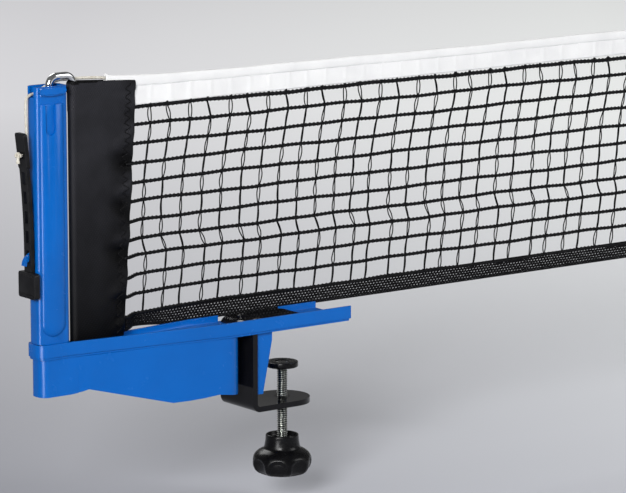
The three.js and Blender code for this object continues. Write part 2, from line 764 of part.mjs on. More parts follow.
/** The downward hook on the outer face, which holds one of the strap's holes. */
function strapHook() {
  const root = postOuterX + 0.5;
  const tip = postOuterX - hookReach;
  const under = hookUnderside;
  const side = new THREE.Shape();
  side.moveTo(root, under + 2.4);
  side.lineTo(postOuterX - 1.6, under + 1.2);
  side.lineTo(postOuterX - 4.2, under);
  side.lineTo(postOuterX - 4.5, under - 2.4);
  side.lineTo(tip, under - 1.8);
  side.quadraticCurveTo(tip + 0.4, under + hookThickness, postOuterX - 3, under + hookThickness + 1.2);
  side.lineTo(root, under + hookThickness + 3.6);
  return across(side, -hookHalfWidth, hookHalfWidth);
}

function postShell() {
  const half = postDepth / 2;
  const innerLeft = postOuterX + postWall;
  const innerRight = postInnerX - postWall;
  const innerHalf = half - postWall;
  const aboveLip = frontLipHeight + gap;
  const footLeftX = postOuterX + postFootInset;
  let post = raised(postPlan(postOuterX, postFrontCorner), aboveLip, postTop)
    .add(raised(postPlan(footLeftX, postOuterCorner - postFootInset / 2), postBottom, aboveLip + 0.5));
  post = post.add(frontBulge());
  const bead = roundedRectangle(
    bulgeX - beadWidth / 2, bulgeX + beadWidth / 2, beadTop - beadHeight, beadTop, beadHeight * 0.45);
  post = post.add(across(bead, -half - bulgeOut - 0.2, -half + 0.5));
  // T-shaped recess: a cross bar under the bead and an upright with a round end below it
  const bandBottomZ = bandTop - bandHeight;
  post = post.subtract(box(
    bulgeX - bulgeHalfWidth, bulgeX + bulgeHalfWidth, -half - 5, -half - 0.1, bandBottomZ, bandTop));
  const slotShape = new THREE.Shape();
  const slotHalf = slotWidth / 2;
  const slotCentreX = bulgeX + slotOffset;
  slotShape.moveTo(slotCentreX + slotHalf, bandBottomZ + 0.5);
  slotShape.lineTo(slotCentreX - slotHalf, bandBottomZ + 0.5);
  slotShape.lineTo(slotCentreX - slotHalf, bandBottomZ - slotLength + slotHalf);
  slotShape.absarc(slotCentreX, bandBottomZ - slotLength + slotHalf, slotHalf, Math.PI, 2 * Math.PI);
  post = post.subtract(across(slotShape, -half - 5, -half - 0.6));
  // Hollow above the foot, with two webs that guide the rod
  post = post.subtract(box(innerLeft, innerRight, -innerHalf, innerHalf, postBottom + postFootHeight, postTop + 1));
  for (const z of [lowerWebZ, postTop - upperWebDrop]) {
    post = post.add(box(innerLeft - 0.5, innerRight + 0.5, -innerHalf - 0.5, innerHalf + 0.5, z, z + webThickness));
  }
  post = post.subtract(upright(rodRadius + rodWebGap, rodLeftX, 0, lowerWebZ - 5, postTop));
  // Notch in the outer wall for the cord
  post = post.subtract(box(
    postOuterX - 1, innerLeft + 0.1, -notchHalfWidth, notchHalfWidth, notchBottom, postTop + 1));
  // Foot: bores for the height screw and its nut, and slots for the two prongs
  post = post.subtract(upright(
    heightScrewRadius + runningGap, postMiddleX, 0, postBottom - 1, postBottom + postFootHeight + 1));
  const pocketHalf = nutAcrossFlats / 2 + gap;
  const pocketCorner = pocketHalf / Math.cos(Math.PI / 6);
  post = post.subtract(upright(pocketCorner, postMiddleX, 0, postBottom - 1, postBottom + nutThickness + 2 * gap, 6));
  const prongReach = prongHalfDepth + runningGap;
  for (const [x0, x1] of prongSpans()) {
    post = post.subtract(box(
      x0 - runningGap, x1 + runningGap, -prongReach, prongReach, postBottom - 1, postBottom + postFootHeight + 1));
  }
  return post.add(strapHook());
}

add('post_shell', postShell(), blue, 0.35, 0);

function heightNut() {
  const bottom = postBottom + gap;
  const corner = nutAcrossFlats / 2 / Math.cos(Math.PI / 6);
  return upright(corner, postMiddleX, 0, bottom, bottom + nutThickness, 6)
    .subtract(upright(heightScrewRadius + 0.25, postMiddleX, 0, bottom - 1, bottom + nutThickness + 1));
}

add('height_nut', heightNut(), zinc, 0.35, 1);

// ---- Bent rod -----------------------------------------------------------------------------------------

function netRod() {
  const stations = [new THREE.Vector3(rodLeftX, 0, rodShortBottom)];
  const springZ = rodArchTop - rodBendRadius;
  const bendSteps = 6;
  for (let i = 0; i <= bendSteps; i += 1) {
    const angle = Math.PI - (i / bendSteps) * (Math.PI / 2);
    stations.push(new THREE.Vector3(
      rodLeftX + rodBendRadius + rodBendRadius * Math.cos(angle), 0, springZ + rodBendRadius * Math.sin(angle)));
  }
  for (let i = 0; i <= bendSteps; i += 1) {
    const angle = Math.PI / 2 - (i / bendSteps) * (Math.PI / 2);
    stations.push(new THREE.Vector3(
      rodRightX - rodBendRadius + rodBendRadius * Math.cos(angle), 0, springZ + rodBendRadius * Math.sin(angle)));
  }
  stations.push(new THREE.Vector3(rodRightX, 0, rodLongBottom));
  return tube(new Stations(stations), rodRadius, stations.length - 1, 16);
}

add('net_rod', netRod(), chrome, 0.12, 1);

// ---- Net ----------------------------------------------------------------------------------------------

/** How far the net's lower edge is pushed back at x: a little beside the sleeve, then behind the back lip. */
function edgeLean(x) {
  if (x < sleeveRightX) {
    return leanAtSleeve * THREE.MathUtils.clamp((x - rodRightX) / (sleeveRightX - rodRightX), 0, 1);
  }
  if (x < bandRampX[0]) {
    const atRamp = armHalfWidth(bandRampX[0]) + leanOverLip;
    return THREE.MathUtils.mapLinear(x, sleeveRightX, bandRampX[0], leanAtSleeve, atRamp);
  }
  return armHalfWidth(x) + leanOverLip;
}

/** The net's own surface: it hangs from the top edge and leans back evenly towards the lower edge. */
function netSurface(x, z) {
  const drop = THREE.MathUtils.clamp((leanStartZ - z) / (leanStartZ - bandBottom), 0, 1);
  return new THREE.Vector3(x, edgeLean(x) * drop, z);
}

/** Height of the band's lower edge at x. */
function bandEdge(x) {
  const t = THREE.MathUtils.smoothstep(x, bandRampX[0], bandRampX[1]);
  return THREE.MathUtils.lerp(bandBottomAtSleeve, bandBottom, t);
}

/**
 * A closed sheet on a grid of lines across (columns) and down (rows). `centre(column, row)` gives the
 * middle surface, `half(column, row)` half its thickness along Y, and `open(i, j)` says which cells are
 * left out.
 */
function sheet(columns, rows, centre, half, open = () => false) {
  const wide = columns.length;
  const tall = rows.length;
  const positions = [];
  for (const side of [-1, 1]) {
    for (const row of rows) {
      for (const column of columns) {
        const point = centre(column, row);
        positions.push(point.x, point.y + side * half(column, row), point.z);
      }
    }
  }
  const at = (side, i, j) => side * wide * tall + j * wide + i;
  const filled = (i, j) => i >= 0 && j >= 0 && i < wide - 1 && j < tall - 1 && !open(i, j);
  const index = [];
  const quad = (a, b, c, d) => index.push(a, b, c, a, c, d);
  for (let j = 0; j < tall - 1; j += 1) {
    for (let i = 0; i < wide - 1; i += 1) {
      if (filled(i, j)) {
        quad(at(0, i, j), at(0, i + 1, j), at(0, i + 1, j + 1), at(0, i, j + 1));
        quad(at(1, i, j), at(1, i, j + 1), at(1, i + 1, j + 1), at(1, i + 1, j));
        if (!filled(i, j - 1)) quad(at(1, i, j), at(1, i + 1, j), at(0, i + 1, j), at(0, i, j));
        if (!filled(i, j + 1)) quad(at(0, i, j + 1), at(0, i + 1, j + 1), at(1, i + 1, j + 1), at(1, i, j + 1));
        if (!filled(i - 1, j)) quad(at(0, i, j), at(0, i, j + 1), at(1, i, j + 1), at(1, i, j));
        if (!filled(i + 1, j)) quad(at(1, i + 1, j), at(1, i + 1, j + 1), at(0, i + 1, j + 1), at(0, i + 1, j));
      }
    }
  }
  const geometry = new THREE.BufferGeometry();
  geometry.setAttribute('position', new THREE.Float32BufferAttribute(positions, 3));
  geometry.setIndex(index);
  return solidOf(geometry);
}

/** Evenly spaced values from a to b. */
function spaced(a, b, count) {
  return Array.from({ length: count + 1 }, (_, i) => a + ((b - a) * i) / count);
}

/** Pairs of lines either side of each thread, from a to b. */
function threadLines(a, b, count) {
  const lines = [];
  spaced(a + cordWidth / 2, b - cordWidth / 2, count).forEach((middle) => {
    lines.push(middle - cordWidth / 2, middle + cordWidth / 2);
  });
  return lines;
}

const netLeftX = sleeveRightX + gap;
const netColumns = threadLines(netLeftX, meshRightX, meshColumns);
const netRows = threadLines(meshBottom, meshTop, meshRows);

add('net_mesh', sheet(
  netColumns, netRows, netSurface, () => meshHalfThickness, (i, j) => i % 2 === 1 && j % 2 === 1,
), blackNylon, 0.8, 0);

const tapeColumns = spaced(netLeftX, meshRightX, 16);
add('top_tape', sheet(
  tapeColumns, [tapeBottom, netTop - 0.5, netTop], netSurface,
  (x, z) => (z === netTop ? tapeHalfThickness * 0.5 : tapeHalfThickness),
), whiteCloth, 0.85, 0);

const bandColumns = [netLeftX, ...spaced(bandRampX[0] - 4, bandRampX[1], 6), ...spaced(flareEndX, meshRightX, 12)];
add('bottom_band', sheet(
  bandColumns, [0, 1],
  (x, share) => netSurface(x, THREE.MathUtils.lerp(bandEdge(x), meshBottom - gap, share)),
  () => bandHalfThickness,
), blackNylon, 0.8, 0);

/** The sleeve: a flat tube, round about the rod and thin where it is stitched to the net. */
function netSleeve() {
  const nose = spaced(0, 1, 6).map((t) => rodRightX - sleeveNoseRadius * Math.cos((t * Math.PI) / 2));
  const flat = spaced(rodRightX + 4, sleeveRightX, 6);
  const columns = [...nose, ...flat];
  const rows = [...spaced(sleeveBottom, leanStartZ, 8), netTop];
  const half = (x) => {
    if (x <= rodRightX) {
      const along = (rodRightX - x) / sleeveNoseRadius;
      return Math.max(sleeveNoseRadius * Math.sqrt(Math.max(1 - along * along, 0)), 0.25);
    }
    return THREE.MathUtils.mapLinear(x, rodRightX, sleeveRightX, sleeveNoseRadius, sleeveEdgeHalf);
  };
  return sheet(columns, rows, netSurface, half)
    .subtract(upright(rodBore, rodRightX, 0, sleeveBottom - 1, netTop + 1));
}

add('net_sleeve', netSleeve(), blackNylon, 0.75, 0);

/** The hem at the net's other end, as wide as the sleeve. */
function farSleeve() {
  const left = meshRightX + gap;
  const columns = spaced(left, left + farSleeveWidth, 4);
  return sheet(
    columns, spaced(sleeveBottom, netTop, 6), netSurface,
    (x) => THREE.MathUtils.mapLinear(x, left, left + farSleeveWidth, sleeveEdgeHalf, sleeveNoseRadius * 0.8));
}

add('far_sleeve', farSleeve(), blackNylon, 0.75, 0);

// ---- Tension cord, knot and strap ---------------------------------------------------------------------

// Out of the sleeve's top, behind the rod and over the post's wall, out through the notch and down to the
// strap's top hole.
const cordRoute = [
  [-103, 0.4, 153.4],
  [-108, 0.8, 153.9],
  [-114, 2, 154.2],
  [-120, 3.1, 154.3],
  [-126, 3.2, 154.2],
  [-132, 3.2, 154.2],
  [-137, 3.2, 153],
  [-142, 3.1, 151],
  [-146, 2.5, 149.3],
  [-150, 1, 148.4],
  [-153, 0, 147.9],
  [-155, 0, 146.4],
  [-155.6, 0, 143],
  [-155.6, 0, 136],
  [-155.4, 0, 127],
  [-155.2, 0, 120],
  [-155.3, 0, 117.2],
  [-156.1, 0, 115.5],
  [-158.9, 0, 115.1],
].map(([x, y, z]) => new THREE.Vector3(x, y, z));

add('tension_cord', tube(new THREE.CatmullRomCurve3(cordRoute), cordRadius, 54, 8), creamCord, 0.8, 0);

function cordKnot() {
  const end = cordRoute[cordRoute.length - 1];
  const centre = new THREE.Vector3(end.x - gap - knotHalfThickness, 0, end.z);
  const ball = new THREE.SphereGeometry(1, 16, 10).scale(knotHalfThickness, knotRadius, knotRadius)
    .translate(...centre.toArray());
  const tail = new THREE.CatmullRomCurve3([
    centre,
    centre.clone().add(new THREE.Vector3(-0.9, 1, -1.7)),
    centre.clone().add(new THREE.Vector3(-1.3, 1.7, -4)),
  ]);
  return solidOf(ball).add(tube(tail, cordRadius, 6, 8));
}

add('cord_knot', cordKnot(), creamCord, 0.8, 0);

/** The middle of the strap at height z: upright below the hook, and curving out above it. */
function strapX(z) {
  return postOuterX - strapStandoff - strapBend * Math.max(0, z - hookUnderside) ** 2;
}

/** The strap: its bent side profile, cut to the outline that it has from the front. */
function tensionStrap() {
  const half = strapThickness / 2;
  const heights = [tabBottom, tabTop, ...spaced(hookUnderside, strapTop, 6)];
  const outside = heights.map((z) => [strapX(z) - half, z]);
  const inside = heights.map((z) => [strapX(z) + half, z]).reverse();
  const tabOutside = strapX(tabBottom) + half - tabThickness;
  const profile = across(polygon([...outside, ...inside]), -tabHalfWidth, tabHalfWidth)
    .add(box(tabOutside, strapX(tabTop), -tabHalfWidth, tabHalfWidth, tabBottom, tabTop));
  const outline = (halfWidth, z0, z1, corner) => facing(
    roundedRectangle(-halfWidth, halfWidth, z0, z1, corner), strapX(strapTop) - tabThickness, postOuterX);
  let strap = profile.intersect(outline(strapHalfWidth, tabTop - 5, strapTop, strapCorner)
    .add(outline(strapHeadHalfWidth, strapTop - strapHeadHeight, strapTop, strapCorner))
    .add(outline(tabHalfWidth, tabBottom, tabTop, strapCorner)));
  for (const z of [tabBottom + 1, tabTop - 1 - tabRibHeight]) {
    const ribHalf = tabHalfWidth - 1.5 * strapCorner;
    strap = strap.add(box(tabOutside - tabRibOut, tabOutside + 0.5, -ribHalf, ribHalf, z, z + tabRibHeight));
  }
  const punch = (z0, z1) => box(
    strapX(strapTop) - tabThickness, postOuterX, -strapHoleHalfWidth, strapHoleHalfWidth, z0, z1);
  for (let i = 0; i < strapHoles; i += 1) {
    const bottom = strapHoleBottom + i * strapHolePitch;
    strap = strap.subtract(punch(bottom, bottom + strapHoleHeight));
  }
  const cordZ = cordRoute[cordRoute.length - 1].z;
  const knotHoleHalf = cordRadius + knotHoleMargin;
  return strap.subtract(punch(cordZ - knotHoleHalf, cordZ + knotHoleHalf));
}

add('tension_strap', tensionStrap(), blackRubber, 0.6, 0);

export default object;
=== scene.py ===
"""A table tennis net clamp with its post, rod, strap and the end of its net, as Blender shows it.

Metres in Blender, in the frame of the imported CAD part: X runs along the net towards the middle of the
table, Y away from the side with the tall lip, +Z up, and the origin is the corner of the table's edge.
Shapes are worked out in millimetres, and become metres when their mesh is made.
"""
import json
import math

import bmesh
import bpy
import numpy as np
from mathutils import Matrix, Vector

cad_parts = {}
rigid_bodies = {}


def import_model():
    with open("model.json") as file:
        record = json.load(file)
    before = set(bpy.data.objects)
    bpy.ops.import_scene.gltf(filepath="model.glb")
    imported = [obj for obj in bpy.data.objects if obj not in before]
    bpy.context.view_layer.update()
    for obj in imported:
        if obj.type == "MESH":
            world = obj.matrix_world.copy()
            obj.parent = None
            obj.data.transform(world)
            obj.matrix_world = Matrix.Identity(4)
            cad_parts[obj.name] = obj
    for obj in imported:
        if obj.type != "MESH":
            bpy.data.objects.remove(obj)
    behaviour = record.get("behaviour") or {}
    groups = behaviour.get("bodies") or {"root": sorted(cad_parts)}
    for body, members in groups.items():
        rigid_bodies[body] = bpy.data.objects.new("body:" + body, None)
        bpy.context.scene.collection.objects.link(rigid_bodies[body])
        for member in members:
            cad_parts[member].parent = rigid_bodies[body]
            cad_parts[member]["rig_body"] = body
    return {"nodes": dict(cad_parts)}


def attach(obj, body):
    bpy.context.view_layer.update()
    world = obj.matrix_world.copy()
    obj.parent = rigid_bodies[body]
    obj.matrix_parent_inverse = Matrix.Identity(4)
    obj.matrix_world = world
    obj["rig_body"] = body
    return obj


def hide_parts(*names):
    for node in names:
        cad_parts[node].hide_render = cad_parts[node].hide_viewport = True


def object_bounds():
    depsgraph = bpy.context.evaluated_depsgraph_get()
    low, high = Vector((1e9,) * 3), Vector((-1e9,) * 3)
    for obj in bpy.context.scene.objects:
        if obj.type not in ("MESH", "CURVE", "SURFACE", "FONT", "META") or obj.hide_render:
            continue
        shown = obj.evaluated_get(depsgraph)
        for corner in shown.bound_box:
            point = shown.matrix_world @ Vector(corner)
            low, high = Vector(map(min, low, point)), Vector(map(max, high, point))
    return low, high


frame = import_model()
cad_low, cad_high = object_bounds()

# ---- Camera --------------------------------------------------------------------------
# The photograph looks at the clamp from the post's end, a little from above, with a long lens that
# keeps upright edges nearly upright.

CAMERA_AZIMUTH, CAMERA_ELEVATION = math.radians(-36.7176), math.radians(10.3943)
CAMERA_DISTANCE = 2.27742
SENSOR_WIDTH, FRAME_WIDTH, FOCAL_PIXELS = 36, 626, 3922.43
AIM = Vector((0.04033, 0.0, 0.042676))

scene = bpy.context.scene
scene.view_settings.view_transform = "Standard"
backwards = Vector((
    math.sin(CAMERA_AZIMUTH) * math.cos(CAMERA_ELEVATION),
    -math.cos(CAMERA_AZIMUTH) * math.cos(CAMERA_ELEVATION),
    math.sin(CAMERA_ELEVATION)))


def added(name, data):
    """A new object of the scene, at the origin."""
    made = bpy.data.objects.new(name, data)
    scene.collection.objects.link(made)
    return made


camera = added("camera", bpy.data.cameras.new("camera"))
camera.data.sensor_width = SENSOR_WIDTH
camera.data.lens = SENSOR_WIDTH * FOCAL_PIXELS / FRAME_WIDTH
camera.data.clip_end = 100
camera.location = AIM + backwards * CAMERA_DISTANCE
camera.rotation_euler = backwards.to_track_quat("Z", "Y").to_euler()
scene.camera = camera

# ---- Tension cord --------------------------------------------------------------------
# A thin braided cotton cord. It leaves the net's tape over the sleeve's top, passes behind the rod and
# over the post's wall, and goes down to the strap, where an overhand knot stops it in the top hole.

MM = 0.001
CORD_RADIUS, CORD_STEP, CORD_SIDES = 0.8, 0.4, 24
CORD_ROUTE = np.array([
    (-103, 0.4, 153.4), (-108, 0.8, 153.9), (-114, 2, 154.2), (-120, 3.1, 154.3), (-126, 3.2, 154.2),
    (-132, 3.2, 154.2), (-137, 3.2, 153), (-142, 3.1, 151), (-146, 2.5, 149.3), (-150, 1, 148.4),
    (-153, 0, 147.9), (-155, 0, 146.4), (-155.6, 0, 143), (-155.6, 0, 136), (-155.4, 0, 127),
    (-155.2, 0, 120), (-155.3, 0, 117.2), (-156.1, 0, 115.5), (-158.9, 0, 115.1)], float)
BRAID_STRANDS, BRAID_LENGTH, BRAID_HEIGHT = 4, 3.4, 0.05
KNOT_CENTRE, KNOT_SCALE, KNOT_SIDES = np.array((-160.9, 0, 115.1)), 0.57, 16
TAIL_ROUTE = KNOT_CENTRE + np.array([
    (-0.2, -0.6, 0.6), (-1.1, -1.5, -0.8), (-1.4, -1.9, -2.4), (-1.4, -1.9, -4.0)])
FRAY_START, FRAY_GROWTH = 2.5, 0.25


def through(route, per_span):
    """A smooth curve through the points of a route, a centripetal Catmull-Rom spline: on each span a
    cubic whose end slopes come from the neighbouring points, with times that grow as the root of the
    distance."""
    route = np.vstack([2 * route[0] - route[1], route, 2 * route[-1] - route[-2]])
    before, start, end, after = route[:-3], route[1:-2], route[2:-1], route[3:]
    t0, t1, t2 = (
        np.sqrt(np.linalg.norm(b - a, axis=1))[:, None]
        for a, b in ((before, start), (start, end), (end, after)))
    leave = ((start - before) / t0 - (end - before) / (t0 + t1) + (end - start) / t1) * t1
    arrive = ((end - start) / t1 - (after - start) / (t1 + t2) + (after - end) / t2) * t1
    t = (np.arange(per_span) / per_span)[None, :, None]
    start, end, leave, arrive = (a[:, None, :] for a in (start, end, leave, arrive))
    spans = (
        start + leave * t + (-3 * start + 3 * end - 2 * leave - arrive) * t ** 2
        + (2 * start - 2 * end + leave + arrive) * t ** 3)
    return np.vstack([spans.reshape(-1, 3), end[-1]])


def lengths_along(path):
    """Distance from a path's first point to each of its points."""
    return np.concatenate([[0], np.cumsum(np.linalg.norm(np.diff(path, axis=0), axis=1))])


def evenly(path, step):
    """The same path with its points a step apart."""
    along = lengths_along(path)
    marks = np.linspace(0, along[-1], max(int(round(along[-1] / step)), 2) + 1)
    return np.stack([np.interp(marks, along, path[:, k]) for k in range(3)], 1)


def round_angles(sides):
    """Angles evenly spaced once round a ring, as one row."""
    return 2 * np.pi * np.arange(sides)[None, :] / sides


def swept(path, radius, sides, upward=(0, 1, 0), along=None):
    """Rings of points round a path. Ring i, point j is path + radius (cos b side + sin b other), where
    side is square to the path and to `upward`, other is square to both, and b goes once round. The
    radius is one number, one for each ring, or one for each point of each ring. `along` gives the
    path's direction where it is closed."""
    along = np.gradient(path, axis=0) if along is None else along
    along = along / np.linalg.norm(along, axis=1, keepdims=True)
    side = np.cross(along, upward)
    side /= np.linalg.norm(side, axis=1, keepdims=True)
    other = np.cross(side, along)
    b = round_angles(sides)[..., None]
    radius = np.asarray(radius, float)
    radius = radius[:, None] if radius.ndim == 1 else radius
    radius = np.broadcast_to(radius, (len(path), sides))[..., None]
    return path[:, None] + radius * (np.cos(b) * side[:, None] + np.sin(b) * other[:, None])


def lattice(points, wrap=True, ends="capped", u=None, v=None):
    """A surface on a grid of points (rows, columns, 3). Each cell is one face. `wrap` joins the last
    column to the first; ends are "capped" with a fan, "joined" to each other, or "open". u has a value
    for each column and one more where it wraps, v one for each row. A closed shape that comes out inside
    out is turned round. Gives points, faces of four and three corners, and their places in the map."""
    rows, columns = points.shape[:2]
    i, j = np.meshgrid(
        np.arange(rows if ends == "joined" else rows - 1), np.arange(columns if wrap else columns - 1),
        indexing="ij")
    i, j = i.ravel(), j.ravel()
    corner_i = np.stack([i, i, i + 1, i + 1], 1)
    corner_j = np.stack([j, j + 1, j + 1, j], 1)
    quads = corner_i % rows * columns + corner_j % columns
    u = np.arange(columns + 1) / columns if u is None else u
    v = np.arange(rows + 1) / rows if v is None else v
    quad_map = np.stack([u[corner_j], v[corner_i]], -1)
    flat = points.reshape(-1, 3)
    triangles, triangle_map = np.zeros((0, 3), int), np.zeros((0, 3, 2))
    if ends == "capped":
        flat = np.vstack([flat, points[0].mean(0), points[-1].mean(0)])
        j = np.arange(columns)
        pole = np.full(columns, rows * columns)
        base = (rows - 1) * columns
        first = np.stack([(j + 1) % columns, j, pole], 1)
        last = np.stack([base + j, base + (j + 1) % columns, pole + 1], 1)
        triangles = np.vstack([first, last])
        fan = np.stack([u[j + 1], u[j], (u[j] + u[j + 1]) / 2], 1)
        triangle_map = np.concatenate([
            np.stack([fan, np.full_like(fan, v[0])], -1),
            np.stack([fan[:, [1, 0, 2]], np.full_like(fan, v[rows - 1])], -1)])
    if wrap and ends != "open":
        a, b, c, d = (flat[quads[:, k]] for k in range(4))
        p, q, r = (flat[triangles[:, k]] for k in range(3))
        volume = (a * np.cross(b, c)).sum() + (a * np.cross(c, d)).sum() + (p * np.cross(q, r)).sum()
        if volume < 0:
            quads, triangles = quads[:, ::-1], triangles[:, ::-1]
            quad_map, triangle_map = quad_map[:, ::-1], triangle_map[:, ::-1]
    return flat, quads, triangles, quad_map, triangle_map


def make_piece(name, parts, material, body, sharp=None):
    """One object from one or several lattices, with a map of its surface. `sharp` is the angle in
    degrees from which an edge stays sharp in the shading."""
    parts = parts if isinstance(parts, list) else [parts]
    starts = np.cumsum([0] + [len(p[0]) for p in parts[:-1]])
    quads, triangles = (
        np.concatenate([p[k] + s for p, s in zip(parts, starts)]).tolist() for k in (1, 2))
    mesh = bpy.data.meshes.new(name)
    mesh.from_pydata((np.vstack([p[0] for p in parts]) * MM).tolist(), [], quads + triangles)
    places = np.concatenate([p[k].reshape(-1, 2) for k in (3, 4) for p in parts])
    mesh.uv_layers.new(name="surface").data.foreach_set("uv", places.astype(np.float32).ravel())
    mesh.shade_smooth()
    if sharp is not None:
        mesh.set_sharp_from_angle(angle=math.radians(sharp))
    mesh.materials.append(material)
    piece = added(name, mesh)
    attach(piece, body)
    return piece


def effect(name, inputs, outputs):
    """An empty node group whose named inputs and outputs carry numbers. Gives the group, what comes in,
    and what goes out."""
    group = bpy.data.node_groups.new(name, "ShaderNodeTree")
    for key, value in inputs.items():
        made = group.interface.new_socket(name=key, in_out="INPUT", socket_type="NodeSocketFloat")
        made.default_value = value
    for key in outputs:
        group.interface.new_socket(name=key, in_out="OUTPUT", socket_type="NodeSocketFloat")
    return group, group.nodes.new("NodeGroupInput").outputs, group.nodes.new("NodeGroupOutput").inputs


def join(tree, source, target):
    tree.links.new(source, target)


def node(tree, kind, settings=None, **inputs):
    """A shader node in a tree, with its settings, and its inputs set or linked: by name, with _ for a
    space, or by number, as i0."""
    made = tree.nodes.new("ShaderNode" + kind)
    for key, value in (settings or {}).items():
        setattr(made, key, value)
    for key, value in inputs.items():
        by_number = key[0] == "i" and key[1:].isdigit()
        target = made.inputs[int(key[1:]) if by_number else key.replace("_", " ")]
        if isinstance(value, bpy.types.NodeSocket):
            join(tree, value, target)
        else:
            target.default_value = value
    return made


def settle(shader, **values):
    """Sets a shader's own inputs, by name with _ for a space."""
    for key, value in values.items():
        shader.inputs[key.replace("_", " ")].default_value = value


def blank_material(name):
    """A new material, its tree and its shader."""
    material = bpy.data.materials.new(name)
    material.use_nodes = True
    return material, material.node_tree, material.node_tree.nodes["Principled BSDF"]


def sums(tree, operation, a, b=None, c=None):
    """One step of arithmetic on values of the surface."""
    given = {f"i{k}": value for k, value in enumerate((a, b, c)) if value is not None}
    return node(tree, "Math", {"operation": operation}, **given).outputs[0]


def ranged(tree, value, low=0.0, high=1.0, to_low=0.0, to_high=1.0):
    """A value that goes from `to_low` to `to_high` as the given one goes from low to high."""
    return node(
        tree, "MapRange", Value=value, From_Min=low, From_Max=high, To_Min=to_low,
        To_Max=to_high).outputs[0]


def mixed(tree, share, first, second, blend="MIX"):
    """A colour that goes from the first to the second, or to their product, with the share."""
    return node(
        tree, "Mix", {"data_type": "RGBA", "blend_type": blend},
        i0=share, i6=first, i7=second).outputs[2]


def surface_place(tree, kind="Object"):
    """A point's place on the piece, in its own coordinates or in the map of its surface."""
    return node(tree, "TexCoord").outputs[kind]


# Unevenness that every finish of this object has: a slow change of tone, smears in the gloss and a fine
# grain, all on the piece's own coordinates. Most of a noise lies between NOISE_LOW and NOISE_HIGH.
SMEARS_PER_CLOUD = 5.3
NOISE_LOW, NOISE_HIGH = 0.3, 0.7
uneven, given, result = effect(
    "uneven", {"Cloud Scale": 40.0, "Grain Scale": 2000.0}, ("Cloud", "Smear", "Grain"))
where = surface_place(uneven)
smear_scale = sums(uneven, "MULTIPLY", given["Cloud Scale"], SMEARS_PER_CLOUD)
for output, scale, detail, distortion in (
        ("Cloud", given["Cloud Scale"], 3.0, 0.0), ("Smear", smear_scale, 6.0, 0.6),
        ("Grain", given["Grain Scale"], 2.0, 0.0)):
    noise = node(uneven, "TexNoise", Vector=where, Scale=scale, Detail=detail, Distortion=distortion)
    join(uneven, noise.outputs["Fac"], result[output])


def finish_of(name, dark, light, gloss, grain_height, cloud, grain, metallic=0.0, **constants):
    """A material whose colour goes from dark to light with the cloud, whose roughness goes over the
    range `gloss` with the smears, and whose grain stands `grain_height` metres high. Gives the material
    and its tree, shader, bump and colour, so that a finish can add what only it has."""
    material, tree, shader = blank_material(name)
    settle(shader, Metallic=metallic, **constants)
    made = node(tree, "Group", {"node_tree": uneven}, Cloud_Scale=cloud, Grain_Scale=grain)
    tone = ranged(tree, made.outputs["Cloud"], NOISE_LOW, NOISE_HIGH)
    colour = mixed(tree, tone, dark, light)
    join(tree, colour, shader.inputs["Base Color"])
    rough = ranged(tree, made.outputs["Smear"], NOISE_LOW, NOISE_HIGH, *gloss)
    join(tree, rough, shader.inputs["Roughness"])
    bump = node(tree, "Bump", Height=made.outputs["Grain"], Strength=1.0, Distance=grain_height)
    join(tree, bump.outputs[0], shader.inputs["Normal"])
    return material, tree, shader, bump, colour


# Strands that cross in a plait or a weave: the height goes up and down with both directions of the map.
crossing, given, result = effect(
    "crossing_strands", {"Across": 1000.0, "Along": 1000.0, "Skew": 0.0}, ("Height",))
place = node(crossing, "SeparateXYZ", Vector=surface_place(crossing, "UV")).outputs
across = sums(crossing, "MULTIPLY", place[0], given["Across"])
along = sums(crossing, "MULTIPLY", place[1], given["Along"])
skewed = sums(crossing, "MULTIPLY_ADD", along, given["Skew"], across)
over, under = (
    sums(crossing, "COSINE", sums(crossing, "MULTIPLY", turns, 2 * math.pi))
    for turns in (skewed, along))
waves = sums(crossing, "MULTIPLY", over, under)
join(crossing, sums(crossing, "MULTIPLY_ADD", waves, 0.5, 0.5), result["Height"])
DIP_SHADE_TONE = (0.25, 0.25, 0.25, 1)


def strands_on(made, across, along, height, skew=0.0, shade=0.6):
    """Adds crossing strands to a finish: their height in metres, and painted shade where they dip."""
    material, tree, shader, bump, colour = made
    strands = node(tree, "Group", {"node_tree": crossing}, Across=across, Along=along, Skew=skew)
    # Painted shade: the colour is darkened where the strands dip between crossings.
    shadow = ranged(tree, strands.outputs["Height"], to_low=shade, to_high=0.0)
    dip = mixed(tree, shadow, colour, DIP_SHADE_TONE, "MULTIPLY")
    join(tree, dip, shader.inputs["Base Color"])
    weave = node(
        tree, "Bump", Height=strands.outputs["Height"], Strength=1.0, Distance=height,
        Normal=bump.outputs[0])
    join(tree, weave.outputs[0], shader.inputs["Normal"])
    return material


cream_braid = strands_on(
    finish_of("cream_braid", (0.62, 0.57, 0.47, 1), (0.82, 0.79, 0.70, 1), (0.75, 0.9), 0.00003,
              cloud=300.0, grain=9000.0, Sheen_Weight=0.2),
    across=6.0, along=1.0, height=0.00006, skew=1.0, shade=0.5)

# The braid's strands stand out where two waves that turn round the cord against each other meet.
cord_path = evenly(through(CORD_ROUTE, 12), CORD_STEP)
cord_along = lengths_along(cord_path)
strand = BRAID_STRANDS * round_angles(CORD_SIDES)
braid_turn = 2 * np.pi * cord_along[:, None] / BRAID_LENGTH
braid = 1 + BRAID_HEIGHT * np.cos(strand + 2 * braid_turn) * np.cos(strand - 2 * braid_turn)
tension_cord = make_piece(
    "tension_cord_braided",
    lattice(swept(cord_path, CORD_RADIUS * braid, CORD_SIDES), v=cord_along), cream_braid, "post")
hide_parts("tension_cord")

